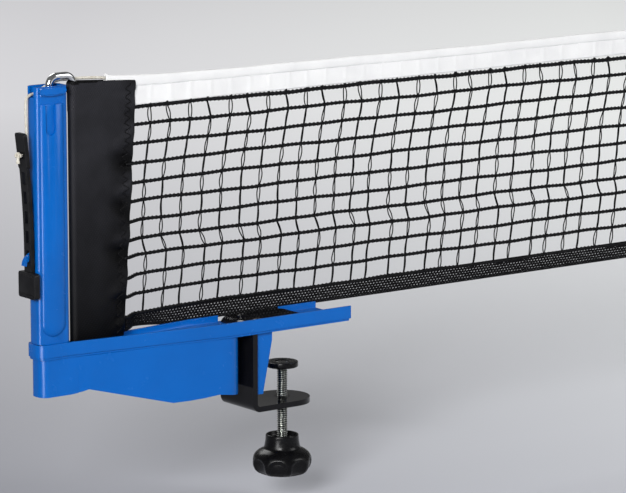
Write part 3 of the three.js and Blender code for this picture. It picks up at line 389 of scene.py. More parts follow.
# The knot is a trefoil: sines and cosines of once, twice and three times the turn. Its tail frays.
turn = np.linspace(0, 2 * np.pi, 97)[:-1]
loop = KNOT_CENTRE + KNOT_SCALE * np.stack([
    -1.25 * np.sin(3 * turn), np.sin(turn) + 2 * np.sin(2 * turn),
    np.cos(turn) - 2 * np.cos(2 * turn)], 1)
loop_rings = swept(
    loop, CORD_RADIUS * 0.95, KNOT_SIDES, upward=loop - loop.mean(0),
    along=np.roll(loop, -1, 0) - np.roll(loop, 1, 0))
tail = evenly(through(TAIL_ROUTE, 8), CORD_STEP)
fray = CORD_RADIUS * (1 + FRAY_GROWTH * np.clip((lengths_along(tail) - FRAY_START) / 2, 0, 1))
cord_knot = make_piece(
    "cord_knot_tied", [lattice(loop_rings, ends="joined"), lattice(swept(tail, fray, KNOT_SIDES))],
    cream_braid, "post")
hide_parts("cord_knot")

# ---- Strap ---------------------------------------------------------------------------
# A moulded rubber strap with a row of holes and a thick pull tab. One hole sits on the post's hook, and
# the cord's knot holds its upper end, so that the strap keeps the cord and the net tight.

black_rubber = finish_of(
    "black_rubber", (0.004, 0.004, 0.0045, 1), (0.01, 0.01, 0.011, 1), (0.28, 0.42), 0.00002,
    cloud=160.0, grain=2600.0, Specular_IOR_Level=0.13)[0]
SAME_POINT, SAME_PLANE, SHARP_CORNER = 2e-6, math.radians(1), math.radians(35)


def eased_copy(cad_node, name, ease, material, steps=2):
    """A CAD node's shape with its triangles merged into whole faces, and every edge that is sharper than
    SHARP_CORNER rounded over by `ease` mm, as a mould or a press leaves it."""
    mesh = frame["nodes"][cad_node].data.copy()
    shape = bmesh.new()
    shape.from_mesh(mesh)
    bmesh.ops.remove_doubles(shape, verts=shape.verts, dist=SAME_POINT)
    bmesh.ops.dissolve_limit(shape, angle_limit=SAME_PLANE, verts=shape.verts, edges=shape.edges)
    shape.to_mesh(mesh)
    shape.free()
    mesh.materials.clear()
    mesh.materials.append(material)
    mesh.shade_smooth()
    mesh.set_sharp_from_angle(angle=SHARP_CORNER)
    piece = added(name, mesh)
    edges = piece.modifiers.new("eased_edges", "BEVEL")
    edges.width = ease * MM
    edges.segments = steps
    edges.limit_method = "ANGLE"
    edges.angle_limit = SHARP_CORNER
    edges.harden_normals = True
    edges.use_clamp_overlap = True
    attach(piece, frame["nodes"][cad_node]["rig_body"])
    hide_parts(cad_node)


eased_copy("tension_strap", "tension_strap_moulded", 0.25, black_rubber)

# ---- Post ----------------------------------------------------------------------------
# Injection-moulded blue plastic with a satin gloss: a hollow box with a half-round rib and a T-shaped
# recess on its front, a notch for the cord, and a hook for the strap. It slides on two prongs.

blue_plastic = finish_of(
    "blue_plastic", (0.0, 0.098, 0.405, 1), (0.0, 0.113, 0.46, 1), (0.2, 0.28), 0.000008,
    cloud=28.0, grain=3200.0, Specular_IOR_Level=0.22)[0]
eased_copy("post_shell", "post_moulded", 0.3, blue_plastic)

# ---- Bent rod ------------------------------------------------------------------------
# Round steel, bent twice and chromed. Its short leg stands in the post and its long leg runs down the
# net's sleeve, so that lifting it out frees the net.

chrome = finish_of(
    "chrome", (0.62, 0.63, 0.64, 1), (0.78, 0.79, 0.8, 1), (0.06, 0.16), 0.000004,
    cloud=60.0, grain=1500.0, metallic=1.0)[0]
ROD_RADIUS, ROD_BEND, ROD_END_EASE = 2.0, 5.0, 1.2
ROD_LEFT, ROD_RIGHT, ROD_TOP = -140.5, -124.8, 157.0
ROD_SHORT_END, ROD_LONG_END = 52.0, 6.0
quarter = np.linspace(0, np.pi / 2, 15)
spring = ROD_TOP - ROD_BEND
rod_path = np.concatenate([
    [(ROD_LEFT, ROD_SHORT_END)],
    np.stack([ROD_LEFT + ROD_BEND * (1 - np.cos(quarter)), spring + ROD_BEND * np.sin(quarter)], 1),
    np.stack([ROD_RIGHT - ROD_BEND * (1 - np.sin(quarter)), spring + ROD_BEND * np.cos(quarter)], 1),
    [(ROD_RIGHT, ROD_LONG_END)]])
rod_path = evenly(np.stack([rod_path[:, 0], 0 * rod_path[:, 0], rod_path[:, 1]], 1), 0.8)
from_end = np.minimum(lengths_along(rod_path), lengths_along(rod_path)[::-1])
rod_end = ROD_RADIUS * np.sqrt(1 - (1 - np.clip(from_end / ROD_END_EASE, 0, 1)) ** 2 * 0.6)
rod = make_piece("net_rod_bent", lattice(swept(rod_path, rod_end, 28)), chrome, "net_rod", sharp=50)
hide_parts("net_rod")

# ---- Arm -----------------------------------------------------------------------------
# Two mouldings of the same blue plastic: a long tray with raised lips, which lies on the table and has
# the stop block under it, and the housing below, which two screws hold up against the tray.

eased_copy("arm_tray", "arm_tray_moulded", 0.4, blue_plastic)
eased_copy("arm_skirt", "arm_housing_moulded", 0.3, blue_plastic)

# ---- Bracket and bush ----------------------------------------------------------------
# A strip of steel bent into a C and painted black, with a slight orange peel in the paint. Its foot has
# a round end with a threaded bush for the clamping screw.

black_paint = finish_of(
    "black_paint", (0.003, 0.003, 0.004, 1), (0.006, 0.006, 0.007, 1), (0.07, 0.14), 0.00002,
    cloud=50.0, grain=700.0, Specular_IOR_Level=0.2)[0]
eased_copy("c_bracket", "c_bracket_pressed", 0.55, black_paint, steps=3)
eased_copy("threaded_bush", "threaded_bush_turned", 0.2, black_paint)

# ---- Small screws --------------------------------------------------------------------
# Self-tapping screws with pan heads and cross recesses. Two zinc-plated ones hold the housing, and two
# black ones hold the bracket's upper end down on the tray.

zinc = finish_of(
    "zinc_plate", (0.36, 0.375, 0.37, 1), (0.62, 0.63, 0.61, 1), (0.2, 0.36), 0.00001,
    cloud=700.0, grain=5000.0, metallic=1.0)[0]
SCREW_RADIUS, SCREW_LENGTH, SCREW_THREAD, SCREW_PITCH, SCREW_SIDES = 1.6, 14.0, 0.45, 1.4, 20
HEAD_RADIUS, HEAD_HEIGHT, HEAD_RIM, HEAD_FALL = 3.2, 1.6, 0.7, 0.42
CROSS_HALF_WIDTH, CROSS_REACH, CROSS_DEPTH = 0.62, 1.9, 1.1
TRAY_FLOOR, STRIP = 2.2, 3.2


def turned(profile, x, y, sides, radius_too=None):
    """Rings of points round an upright line: a profile of (radius, z), each carried once round. With
    `radius_too`, a function of the angle and z in the whole arrays, the radius is multiplied by it."""
    profile = np.asarray(profile, float)
    angle = round_angles(sides)
    radius, z = profile[:, :1] + 0 * angle, profile[:, 1:] + 0 * angle
    if radius_too is not None:
        radius = radius * radius_too(angle, z)
    return np.stack([x + radius * np.cos(angle), y + radius * np.sin(angle), z], -1)


def threaded(root, crest, pitch, z0, z1, x, y, sides, runout=1.0):
    """A screw thread: the radius goes from root to crest and back once each pitch up the screw, starting
    a little later at each angle, and the thread fades out over `runout` mm at both ends."""
    z = np.arange(z0, z1 + pitch / 12, pitch / 6)[:, None]
    angle = round_angles(sides)
    wave = np.abs(((z / pitch - angle / (2 * np.pi)) % 1) * 2 - 1)
    fade = np.clip(np.minimum(z - z0, z1 - z) / runout, 0, 1)
    middle = (root + crest) / 2
    radius = middle + (root + (crest - root) * np.clip(wave * 1.5 - 0.25, 0, 1) - middle) * fade
    return np.stack([x + radius * np.cos(angle), y + radius * np.sin(angle), z + 0 * angle], -1)


def pan_head(x, y, seat):
    """A pan-head screw's head: a disc whose top falls with the fourth power of the radius, and dips in a
    cross of two soft-edged bars."""
    r = np.concatenate([np.linspace(0.05, 1, 22) * (HEAD_RADIUS - 0.05), [HEAD_RADIUS, HEAD_RADIUS]])
    dome = seat + HEAD_HEIGHT * (1 - HEAD_FALL * (r / HEAD_RADIUS) ** 4)
    dome[-2:] = seat + HEAD_RIM, seat
    rings = turned(np.stack([r, dome], 1), 0, 0, 48)
    side_x, side_y = np.abs(rings[..., 0]), np.abs(rings[..., 1])
    narrow, long = np.minimum(side_x, side_y), np.maximum(side_x, side_y)
    cross = np.clip((CROSS_HALF_WIDTH - narrow) / 0.25, 0, 1) * np.clip((CROSS_REACH - long) / 0.4, 0, 1)
    cross[-2:] = 0
    rings[..., 2] -= CROSS_DEPTH * cross
    return rings + np.array([x, y, 0])


for cad_node, x, y, seat, plating, slot in (
        ("skirt_screw_post_side", -112.0, 0.0, TRAY_FLOOR, zinc, "zinc"),
        ("skirt_screw_clamp_side", -46.0, 0.0, TRAY_FLOOR, zinc, "zinc"),
        ("bracket_screw_front", -5.0, -8.0, TRAY_FLOOR + STRIP, black_paint, "black_paint"),
        ("bracket_screw_back", -5.0, 8.0, TRAY_FLOOR + STRIP, black_paint, "black_paint")):
    shank = threaded(
        SCREW_RADIUS - SCREW_THREAD, SCREW_RADIUS, SCREW_PITCH, seat - SCREW_LENGTH, seat + 0.2, x, y,
        SCREW_SIDES)
    tip = turned([(0.3, seat - SCREW_LENGTH - 0.4)], x, y, SCREW_SIDES)
    screw = make_piece(
        cad_node + "_turned",
        [lattice(pan_head(x, y, seat)[::-1]), lattice(np.concatenate([tip, shank]))], plating, "frame",
        sharp=40)
    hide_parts(cad_node)

# ---- Clamping screw, pad and knob ----------------------------------------------------
# A zinc-plated stud with a coarse thread and a moulded knob on its lower end. Its thin upper end is
# riveted over inside the plastic pad, which it presses against the table's underside and turns in.

STUD_X, STUD_SIDES = 17.9, 36
STUD_ROOT, STUD_CREST, STUD_PITCH, STUD_BOTTOM = 2.42, 3.1, 1.27, -84.1
PAD_TOP, PAD_BOTTOM = -22.3, -25.5
KNOB_BOTTOM = -89.1

# The thread has painted shade in its grooves, dark at the bottom of the thread and the plating's own
# tone on its crests: the tone grows with the distance from the stud's axis.
ROOT_SHADE = (0.035, 0.035, 0.035, 1)
zinc_thread, tree, shader, bump, colour = finish_of(
    "zinc_thread", (0.5, 0.52, 0.5, 1), (0.78, 0.8, 0.76, 1), (0.2, 0.34), 0.00001,
    cloud=700.0, grain=5000.0, metallic=1.0)
off_axis = node(
    tree, "VectorMath", {"operation": "SUBTRACT"}, i0=surface_place(tree), i1=(STUD_X * MM, 0, 0))
level = node(tree, "VectorMath", {"operation": "MULTIPLY"}, i0=off_axis.outputs[0], i1=(1, 1, 0))
reach = node(tree, "VectorMath", {"operation": "LENGTH"}, i0=level.outputs[0])
root_shade = ranged(
    tree, reach.outputs["Value"], (STUD_ROOT + 0.12) * MM, (STUD_CREST - 0.12) * MM, 1.0, 0.0)
join(tree, mixed(tree, root_shade, colour, ROOT_SHADE), shader.inputs["Base Color"])
stud = threaded(STUD_ROOT, STUD_CREST, STUD_PITCH, STUD_BOTTOM, PAD_BOTTOM - 0.3, STUD_X, 0, STUD_SIDES)
pin = turned([
    (2.2, PAD_BOTTOM - 0.3), (2.2, -23.2), (3.3, -23.2), (3.5, -23.0), (3.2, -22.7), (2.4, -22.62)],
    STUD_X, 0, STUD_SIDES)
clamp_stud = make_piece(
    "clamp_screw_threaded", lattice(np.concatenate([stud, pin])), zinc_thread, "clamp_screw", sharp=60)
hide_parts("clamp_screw")

moulded_black = finish_of(
    "moulded_black", (0.002, 0.002, 0.0025, 1), (0.005, 0.005, 0.0055, 1), (0.2, 0.33), 0.00001,
    cloud=120.0, grain=1400.0, Specular_IOR_Level=0.17)[0]
pad_profile = [
    (2.55, PAD_BOTTOM), (8.7, PAD_BOTTOM), (9.15, PAD_BOTTOM + 0.15), (9.35, PAD_BOTTOM + 0.6),
    (9.35, PAD_TOP - 0.6), (9.2, PAD_TOP - 0.15), (8.8, PAD_TOP), (6.6, PAD_TOP), (6.4, PAD_TOP - 0.25),
    (6.1, PAD_TOP - 0.25), (5.9, PAD_TOP), (4.2, PAD_TOP), (4.0, PAD_TOP - 0.2), (4.0, PAD_TOP - 1.2),
    (2.55, PAD_TOP - 1.2)]
pad = make_piece(
    "pressure_pad_moulded", lattice(turned(pad_profile, STUD_X, 0, 64), ends="joined"), moulded_black,
    "pad", sharp=40)
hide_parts("pressure_pad")

knob_outline = through(np.array([
    (0.5, 0, 0.35), (8, 0, 0.1), (10.5, 0, 0.1), (13.4, 0, 0.7), (15.8, 0, 2.4), (17.0, 0, 4.6),
    (17.4, 0, 7), (17.1, 0, 9.4), (16.2, 0, 11.6), (14.4, 0, 13.4), (12.4, 0, 14.6), (11, 0, 15.4),
    (10.4, 0, 16.6), (10, 0, 18.6), (9.7, 0, 21), (9.6, 0, 22.6), (9.45, 0, 23.25), (9.1, 0, 23.5),
    (8.75, 0, 23.3), (8.5, 0, 22.5), (8, 0, 21), (7, 0, 20.3), (5, 0, 20.1), (3.5, 0, 20.1)], float), 6)
GROOVES, GROOVE_DEPTH, GROOVE_TOP, GROOVE_ARCH = 8, 0.1, 10.6, 3.5


def finger_grooves(angle, z):
    """Eight finger grooves round the knob's lower half: each is deepest at its middle, dies out at its
    sides and ends in an arch above the widest height."""
    side = np.abs((angle / (2 * np.pi) * GROOVES + 0.5) % 1 - 0.5) * 2
    height = z - KNOB_BOTTOM
    below_arch = np.clip((GROOVE_TOP - GROOVE_ARCH * side ** 2 - height) / 1.8, 0, 1)
    across_groove = np.clip(1 - (side / 0.8) ** 2, 0, 1) ** 0.7
    return 1 - GROOVE_DEPTH * below_arch * across_groove * np.clip(height / 1.5, 0, 1)


knob_profile = np.stack([knob_outline[:, 0], knob_outline[:, 2] + KNOB_BOTTOM], 1)
knob = make_piece(
    "clamp_knob_moulded", lattice(turned(knob_profile, STUD_X, 0, 192, finger_grooves)), moulded_black,
    "clamp_screw")
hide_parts("clamp_knob")

# ---- Height screw --------------------------------------------------------------------
# A socket-head screw under the tray's floor, kept in place by a clip above it. A nut in the post's foot
# climbs on it, which raises the post and the net's top edge.

HEIGHT_X, HEIGHT_SIDES = -142.05, 36
HEIGHT_ROOT, HEIGHT_CREST, HEIGHT_PITCH, HEIGHT_LOW, HEIGHT_TOP = 2.1, 2.5, 0.8, 2.1, 33.6
for cad_node in ("height_clip", "height_nut"):
    frame["nodes"][cad_node].data.materials.clear()
    frame["nodes"][cad_node].data.materials.append(zinc)
height_profile = [
    (0.15, -2.1), (1.9, -2.3), (2.05, -4.25), (3.8, -4.3), (4.1, -4.0), (4.1, -0.6), (3.9, -0.3),
    (2.5, -0.3), (2.5, 2.0)]
height_head = turned(height_profile, HEIGHT_X, 0, HEIGHT_SIDES)
# The socket's two rings, the second and third of the profile, are drawn out to a hexagon.
corner = round_angles(HEIGHT_SIDES)
hexagon = np.cos(np.pi / 6) / np.cos((corner + np.pi / 6) % (np.pi / 3) - np.pi / 6)
height_head[1:3, :, 0] = HEIGHT_X + (height_head[1:3, :, 0] - HEIGHT_X) * hexagon
height_head[1:3, :, 1] *= hexagon
height_thread = threaded(
    HEIGHT_ROOT, HEIGHT_CREST, HEIGHT_PITCH, HEIGHT_LOW, HEIGHT_TOP, HEIGHT_X, 0, HEIGHT_SIDES)
height_tip = turned([(1.6, HEIGHT_TOP + 0.4)], HEIGHT_X, 0, HEIGHT_SIDES)
height_screw = make_piece(
    "height_screw_turned", lattice(np.concatenate([height_head, height_thread, height_tip])), zinc,
    "height_screw", sharp=45)
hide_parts("height_screw")

# ---- Net -----------------------------------------------------------------------------
# Black nylon, knotted by machine: twelve thick twisted cords run along it, and pairs of thin threads
# cross them, knotted at each cord. It hangs from the tape and leans back towards its lower edge.

POST_INNER, FLARE_END = -131.0, -36.0
ARM_NARROW, ARM_WIDE = 8.0, 18.3
SLEEVE_EDGE, NET_LEFT, NET_RIGHT, BAND_BOTTOM = -85.8, -85.5, 304.0, 4.6
LEAN_START, LEAN_AT_SLEEVE, LEAN_PAST_LIP, LEAN_END = 137.0, 6.5, 1.6, -76.0
CORD_HEIGHTS = np.array([135.4, 125.2, 114.2, 103.3, 92.2, 81.1, 69.7, 58.8, 49.2, 38.0, 27.0, 15.2])
CORD_FALL = 0.0035
CORDS_START = -89.0
TWINE_RADIUS, HEAD_TWINE_RADIUS, TWINE_SIDES, TWINE_LAY, TWINE_RELIEF = 0.97, 1.12, 8, 2.9, 0.28
COLUMN_PITCH, FIRST_COLUMN = 13.64, -73.2
THREAD_RADIUS, THREAD_SIDES, THREAD_GAP = 0.37, 5, 0.12
rng = np.random.default_rng(7)


def lean(x):
    """How far the net's lower edge is pushed back at x. It grows evenly inside the sleeve, then to the
    arm's back lip, and past that it keeps behind the lip, which flares with the arm."""
    behind = np.interp(x, [POST_INNER, FLARE_END], [ARM_NARROW, ARM_WIDE]) + LEAN_PAST_LIP
    start = np.interp(LEAN_END, [POST_INNER, FLARE_END], [ARM_NARROW, ARM_WIDE]) + LEAN_PAST_LIP
    beside = LEAN_AT_SLEEVE + (start - LEAN_AT_SLEEVE) * (x - SLEEVE_EDGE) / (LEAN_END - SLEEVE_EDGE)
    in_sleeve = LEAN_AT_SLEEVE * np.clip((x - ROD_RIGHT) / (SLEEVE_EDGE - ROD_RIGHT), 0, 1)
    return np.where(x < SLEEVE_EDGE, in_sleeve, np.where(x < LEAN_END, beside, behind))


def on_net(x, z, proud=0.0):
    """A point of the net's own surface: straight down from the top edge, leaning back evenly below the
    tape, and `proud` mm in front of it."""
    x, z, proud = np.broadcast_arrays(np.asarray(x, float), z, proud)
    drop = np.clip((LEAN_START - z) / (LEAN_START - BAND_BOTTOM), 0, 1)
    return np.stack([x, lean(x) * drop - proud, z], -1)


black_twine = finish_of(
    "black_twine", (0.0015, 0.0015, 0.002, 1), (0.006, 0.006, 0.007, 1), (0.4, 0.6), 0.00006,
    cloud=400.0, grain=5000.0, Specular_IOR_Level=0.1)[0]

# A cord's section has two bulges, its two yarns, which turn once in each lay.
cord_x = np.arange(CORDS_START, NET_RIGHT + 0.26, 0.55)
twist = 2 * np.pi * cord_x[:, None] / TWINE_LAY
two_yarns = 1 + TWINE_RELIEF * np.cos(2 * (round_angles(TWINE_SIDES) - twist / 2))
cords = []
for row, height in enumerate(CORD_HEIGHTS):
    phase = rng.uniform(0, 6)
    sway = 0.32 * np.sin(cord_x / 21 + phase) + 0.16 * np.sin(cord_x / 6.3 + 2 * phase)
    path = on_net(cord_x, height - CORD_FALL * (cord_x - NET_LEFT) + sway)
    thick = HEAD_TWINE_RADIUS if row == 0 else TWINE_RADIUS
    cords.append(lattice(swept(path, thick * two_yarns, TWINE_SIDES)))
net_cords = make_piece("net_cords", cords, black_twine, "post")

columns = np.arange(FIRST_COLUMN, NET_RIGHT - 2, COLUMN_PITCH)
columns = columns + rng.uniform(-0.7, 0.7, len(columns))
# Where each column crosses each cord: it wanders a little from cord to cord, stands to the right near
# the top and to the left below that, and is drawn to the right below a fold in the net, every second
# column more than its neighbours.
FOLD_HEIGHT, FOLD_SPAN = 59, 9.6
odd_column = np.arange(len(columns)) % 2 == 1
drawn = np.where(odd_column, 4.9, 3.7)[:, None] * np.clip((FOLD_HEIGHT - CORD_HEIGHTS) / FOLD_SPAN, 0, 1)
bulge = 1.5 * np.exp(-((CORD_HEIGHTS - 122) / 7) ** 2) - 1.1 * np.exp(-((CORD_HEIGHTS - 90) / 16) ** 2)
wander = np.cumsum(rng.uniform(-0.3, 0.3, (len(columns), len(CORD_HEIGHTS))), axis=1)
crossing_x = columns[:, None] + drawn + bulge + wander
crossing_x[odd_column, 0] -= 2.3
crossing_z = CORD_HEIGHTS[None, :] - CORD_FALL * (crossing_x - NET_LEFT)
# Each pair of threads opens by `spread` mm between two knots, most of all where `peak` puts it, and
# every second column opens into a round loop below the uppermost cord.
LOOP_SPREAD, LOOP_PEAK, LOOP_POWER, OPEN_POWER = 0.95, 1.0, 0.6, 1.3
OPEN_SPREADS, OPEN_SHARES = [0.16, 0.5, 0.85], [0.45, 0.3, 0.25]
threads, knots = [], []
steps = np.linspace(0, 1, 9)
for i in range(len(columns)):
    for j in range(len(CORD_HEIGHTS) - 1):
        if j == 0 and not odd_column[i]:
            spread, peak, power = LOOP_SPREAD, LOOP_PEAK, LOOP_POWER
        else:
            spread = rng.choice(OPEN_SPREADS, p=OPEN_SHARES)
            peak, power = rng.uniform(0.55, 1.7), OPEN_POWER
        bow = rng.uniform(-0.5, 0.5) * np.sin(np.pi * steps)
        x = crossing_x[i, j] + (crossing_x[i, j + 1] - crossing_x[i, j]) * steps + bow
        z = crossing_z[i, j] + (crossing_z[i, j + 1] - crossing_z[i, j]) * steps
        gap = spread * np.sin(np.pi * steps ** peak) ** power + THREAD_GAP
        for side in (-1, 1):
            path = on_net(x + side * gap, z, THREAD_GAP * side)
            threads.append(lattice(swept(path, THREAD_RADIUS, THREAD_SIDES)))
net_threads = make_piece("net_threads", threads, black_twine, "post")

# A knot is a small ball on the crossing. Those of the uppermost cord sit higher and in front of it.
KNOT_RISE, HEAD_KNOT_RISE, HEAD_KNOT_PROUD, BALL_RINGS, BALL_SIDES = 0.15, 0.9, 0.5, 5, 8
knot_angle = np.linspace(0, np.pi, BALL_RINGS + 2)[1:-1]
ball = turned(np.stack([np.sin(knot_angle), np.cos(knot_angle)], 1), 0, 0, BALL_SIDES)
for i in range(len(columns)):
    for j in range(len(CORD_HEIGHTS)):
        size = np.array([1.0, 0.95, 1.15]) * rng.uniform(0.85, 1.1)
        rise, proud = (HEAD_KNOT_RISE, HEAD_KNOT_PROUD) if j == 0 else (KNOT_RISE, 0.0)
        knots.append(lattice(ball * size + on_net(crossing_x[i, j], crossing_z[i, j] + rise, proud)))
net_knots = make_piece("net_knots", knots, black_twine, "post")
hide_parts("net_mesh")
# The yarn's own area, worked out as a share of the net's size, because most of a net is its holes.
YARN_SHARE = 0.34
net_size = np.array((CORD_HEIGHTS[0] - CORD_HEIGHTS[-1], NET_RIGHT - NET_LEFT)) * MM
float(YARN_SHARE * net_size.prod())

# ---- Top tape ------------------------------------------------------------------------
# White cotton tape folded over the net's head cord and stitched down below it. The net's uppermost
# threads show through it as faint ridges.

white_cloth = strands_on(
    finish_of("white_cotton", (0.79, 0.79, 0.79, 1), (0.87, 0.87, 0.865, 1), (0.8, 0.95), 0.00002,
              cloud=60.0, grain=4000.0, Sheen_Weight=0.1),
    across=1.6, along=1.6, height=0.00005, shade=0.16)
TAPE_TOP, STITCH_HEIGHT, TAPE_BOTTOM = 151.8, 146.3, 136.6
TAPE_LEFT, TAPE_WALL, HEAD_CORD_HEIGHT = -103.6, 0.5, 149.1
RIDGE_HEIGHT, RIDGE_WIDTH, GROOVE_HEIGHT, GROOVE_WIDTH = 0.38, 1.1, 0.06, 0.35
tape_x = np.concatenate([np.arange(TAPE_LEFT, NET_RIGHT, 1.2), [NET_RIGHT]])
tape_z = np.concatenate([
    np.linspace(TAPE_BOTTOM, STITCH_HEIGHT - 0.6, 14),
    np.linspace(STITCH_HEIGHT - 0.4, STITCH_HEIGHT + 0.4, 5),
    np.linspace(STITCH_HEIGHT + 0.6, TAPE_TOP - 1.0, 12)])


def tape_half(x, z):
    """Half the tape's thickness: flat and thin below the stitching, with a ridge at each of the net's
    columns, pinched at the stitches, and full over the head cord."""
    from_column = np.abs(x[..., None] - columns).min(-1)
    flat_part = 0.6 + RIDGE_HEIGHT * np.exp(-(from_column / RIDGE_WIDTH) ** 2)
    flat_part = flat_part + 0.12 * np.sin(x / 17) * np.sin(z / 5)
    over_cord = 0.55 + 0.85 * np.sqrt(np.clip(1 - ((z - HEAD_CORD_HEIGHT) / 3.0) ** 2, 0, 1))
    groove = GROOVE_HEIGHT * np.exp(-((z - STITCH_HEIGHT) / GROOVE_WIDTH) ** 2)
    return np.where(z > STITCH_HEIGHT, over_cord, flat_part) - groove


def tape_sway(x, z):
    """How far the tape stands above its straight line at x and z: the cord pulls its left end up, slow
    waves run along it, and it bulges over the cord's end. Its lower edge stays on the net."""
    rise = 3.0 * np.exp(-(x - TAPE_LEFT) / 50) - 0.002 * (x - NET_LEFT)
    waves = 0.22 * np.sin(x / 33) + 0.1 * np.sin(x / 9.1) + 0.9 * np.exp(-((x - TAPE_LEFT) / 2.6) ** 2)
    return (rise + waves) * np.clip((z - TAPE_BOTTOM) / (TAPE_TOP - TAPE_BOTTOM), 0, 1)


# The sheet goes up the back, over the head cord in half a round, and down the front.
grid_x, grid_z = np.meshgrid(tape_x, tape_z, indexing="ij")
half = tape_half(grid_x, grid_z)
over_top = np.linspace(np.pi, 0, 11)[1:-1]
crown = on_net(
    tape_x[:, None] + 0 * over_top, tape_z[-1] + 1.0 * np.sin(over_top), half[:, -1:] * np.cos(over_top))
tape_back, tape_front = on_net(grid_x, grid_z, -half), on_net(grid_x, grid_z, half)
tape_rings = np.concatenate([tape_back, crown, tape_front[:, ::-1]], 1)
tape_rings[..., 2] += tape_sway(tape_x[:, None], tape_rings[..., 2])
across_tape = lengths_along(tape_rings[40])


def cloth_piece(name, rings, across, along, material, wall, sharp=60):
    """An open sheet of cloth with its surface map in mm, and a wall of `wall` mm on its inner side."""
    piece = make_piece(name, lattice(rings, False, "open", across, along), material, "post", sharp)
    thick = piece.modifiers.new("cloth", "SOLIDIFY")
    thick.thickness = wall * MM
    thick.offset = -1
    return piece


top_tape = cloth_piece("top_tape_folded", tape_rings, across_tape, tape_x, white_cloth, TAPE_WALL)
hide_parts("top_tape")
STITCH_LENGTH, STITCH_GAP, STITCH_RADIUS, STITCH_LIFT, STITCH_STEPS = 2.4, 0.8, 0.22, 0.2, 12


def stitches(path):
    """A row of stitches along a path: short threads that rise in their middle and dip at both ends, as
    half a wave. Each takes two thirds of its share of the path."""
    count = int(lengths_along(path)[-1] / (STITCH_LENGTH + STITCH_GAP))
    fine = evenly(path, lengths_along(path)[-1] / (count * STITCH_STEPS))
    arch = np.sin(np.pi * np.linspace(0, 1, 9))
    shapes = []
    for start in range(0, count * STITCH_STEPS, STITCH_STEPS):
        thread = fine[start:start + len(arch)].copy()
        thread[:, 1] -= STITCH_LIFT * arch - 0.25 * STITCH_LIFT
        shapes.append(lattice(swept(thread, STITCH_RADIUS * (0.6 + 0.4 * arch), 6)))
    return shapes


seam_x = np.arange(NET_LEFT - 4, NET_RIGHT - 1, 1.0)
seam = on_net(
    seam_x, STITCH_HEIGHT + tape_sway(seam_x, STITCH_HEIGHT),
    tape_half(seam_x, STITCH_HEIGHT + 0 * seam_x) + 0.05)
tape_stitches = make_piece("top_tape_stitches", stitches(seam), white_cloth, "post")

# ---- Bottom band ---------------------------------------------------------------------
# An open knitted band of black nylon along the net's lower edge: rows of wavy yarn that lean on each
# other and leave a line of small holes between them.

BAND_TOP, BAND_LOW_AT_SLEEVE, RAMP_START, RAMP_END = 15.0, 7.4, -76.0, -40.0
BAND_ROWS, BAND_LOOP, BAND_YARN, BAND_SWING = 6, 2.3, 0.64, 0.19
LOWER_EDGING, UPPER_EDGING, INLAY_YARN = 0.5, 0.45, 0.2
band_x = np.arange(CORDS_START, NET_RIGHT, 0.33)
ramp = np.clip((band_x - RAMP_START) / (RAMP_END - RAMP_START), 0, 1)
band_low = BAND_LOW_AT_SLEEVE + (BAND_BOTTOM - BAND_LOW_AT_SLEEVE) * ramp * ramp * (3 - 2 * ramp)
yarns = []
for row in range(BAND_ROWS):
    share = (row + 0.5) / BAND_ROWS
    height = band_low + 0.4 + (BAND_TOP - 0.9 - band_low) * share
    swing = BAND_SWING * (BAND_TOP - band_low) / BAND_ROWS
    wave = np.sin(2 * np.pi * band_x / BAND_LOOP + np.pi * (row % 2))
    path = on_net(band_x, height + swing * wave, 0.22 * np.cos(4 * np.pi * band_x / BAND_LOOP))
    yarns.append(lattice(swept(path, BAND_YARN, 6)))
band = make_piece("bottom_band_knitted", yarns, black_twine, "post")
edgings = [
    lattice(swept(on_net(band_x, height), thick, 6))
    for height, thick in ((band_low + 0.1, LOWER_EDGING), (BAND_TOP - 0.2 + 0 * band_x, UPPER_EDGING))]
# Inlaid yarns that waver from row to row cover part of the holes.
for row in range(BAND_ROWS + 1):
    height = band_low + 0.5 + (BAND_TOP - 1.1 - band_low) * row / BAND_ROWS
    waver = 0.12 * np.sin(band_x / 2.9 + 2.1 * row) + 0.08 * np.sin(band_x / 1.3 + 4.3 * row) - 0.3
    edgings.append(lattice(swept(on_net(band_x, height + waver)[::2], INLAY_YARN, 5)))
band_edges = make_piece("bottom_band_edges", edgings, black_twine, "post")
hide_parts("bottom_band")

# ---- Sleeves -------------------------------------------------------------------------
# Woven black nylon, folded round the rod and sewn to the net's end with a zigzag seam, which puckers
# it. The net's other end has the same hem, empty.

nylon_finish = finish_of(
    "black_nylon", (0.019, 0.019, 0.0225, 1), (0.03, 0.03, 0.0355, 1), (0.4, 0.55), 0.00002,
    cloud=50.0, grain=3000.0, Specular_IOR_Level=0.07)
black_nylon = strands_on(nylon_finish, across=0.85, along=0.45, height=0.00016, shade=0.5)
# The cloth has painted shade in the creases near the seam, and is darker towards the bottom.
tree, shader = nylon_finish[1:3]
nylon_place = node(tree, "SeparateXYZ", Vector=surface_place(tree))
lower_darkening = ranged(tree, nylon_place.outputs[2], 0.0, 0.12, to_low=0.06)
painted_crease_shade = node(tree, "Attribute", {"attribute_name": "painted_crease_shade"})
crease_shade_factor = ranged(tree, painted_crease_shade.outputs["Fac"], to_low=1.0, to_high=0.12)
woven = shader.inputs["Base Color"].links[0].from_socket
toned = mixed(tree, 1.0, woven, sums(tree, "MULTIPLY", lower_darkening, crease_shade_factor), "MULTIPLY")
join(tree, toned, shader.inputs["Base Color"])

NET_TOP, SLEEVE_BOTTOM, SLEEVE_EDGE_HALF, SLEEVE_WALL = 152.3, 5.2, 1.3, 0.45
NEAR_NOSE, FAR_NOSE, FAR_LEFT, FAR_RIGHT = 3.1, 2.9, 304.3, 346.3
PINCH_IN, PINCH_LENGTH, PULL_LENGTH = 6.0, 5.3, 21.6
ZIGZAG_IN, ZIGZAG_SWING, ZIGZAG_LENGTH = 6.6, 2.4, 5.0
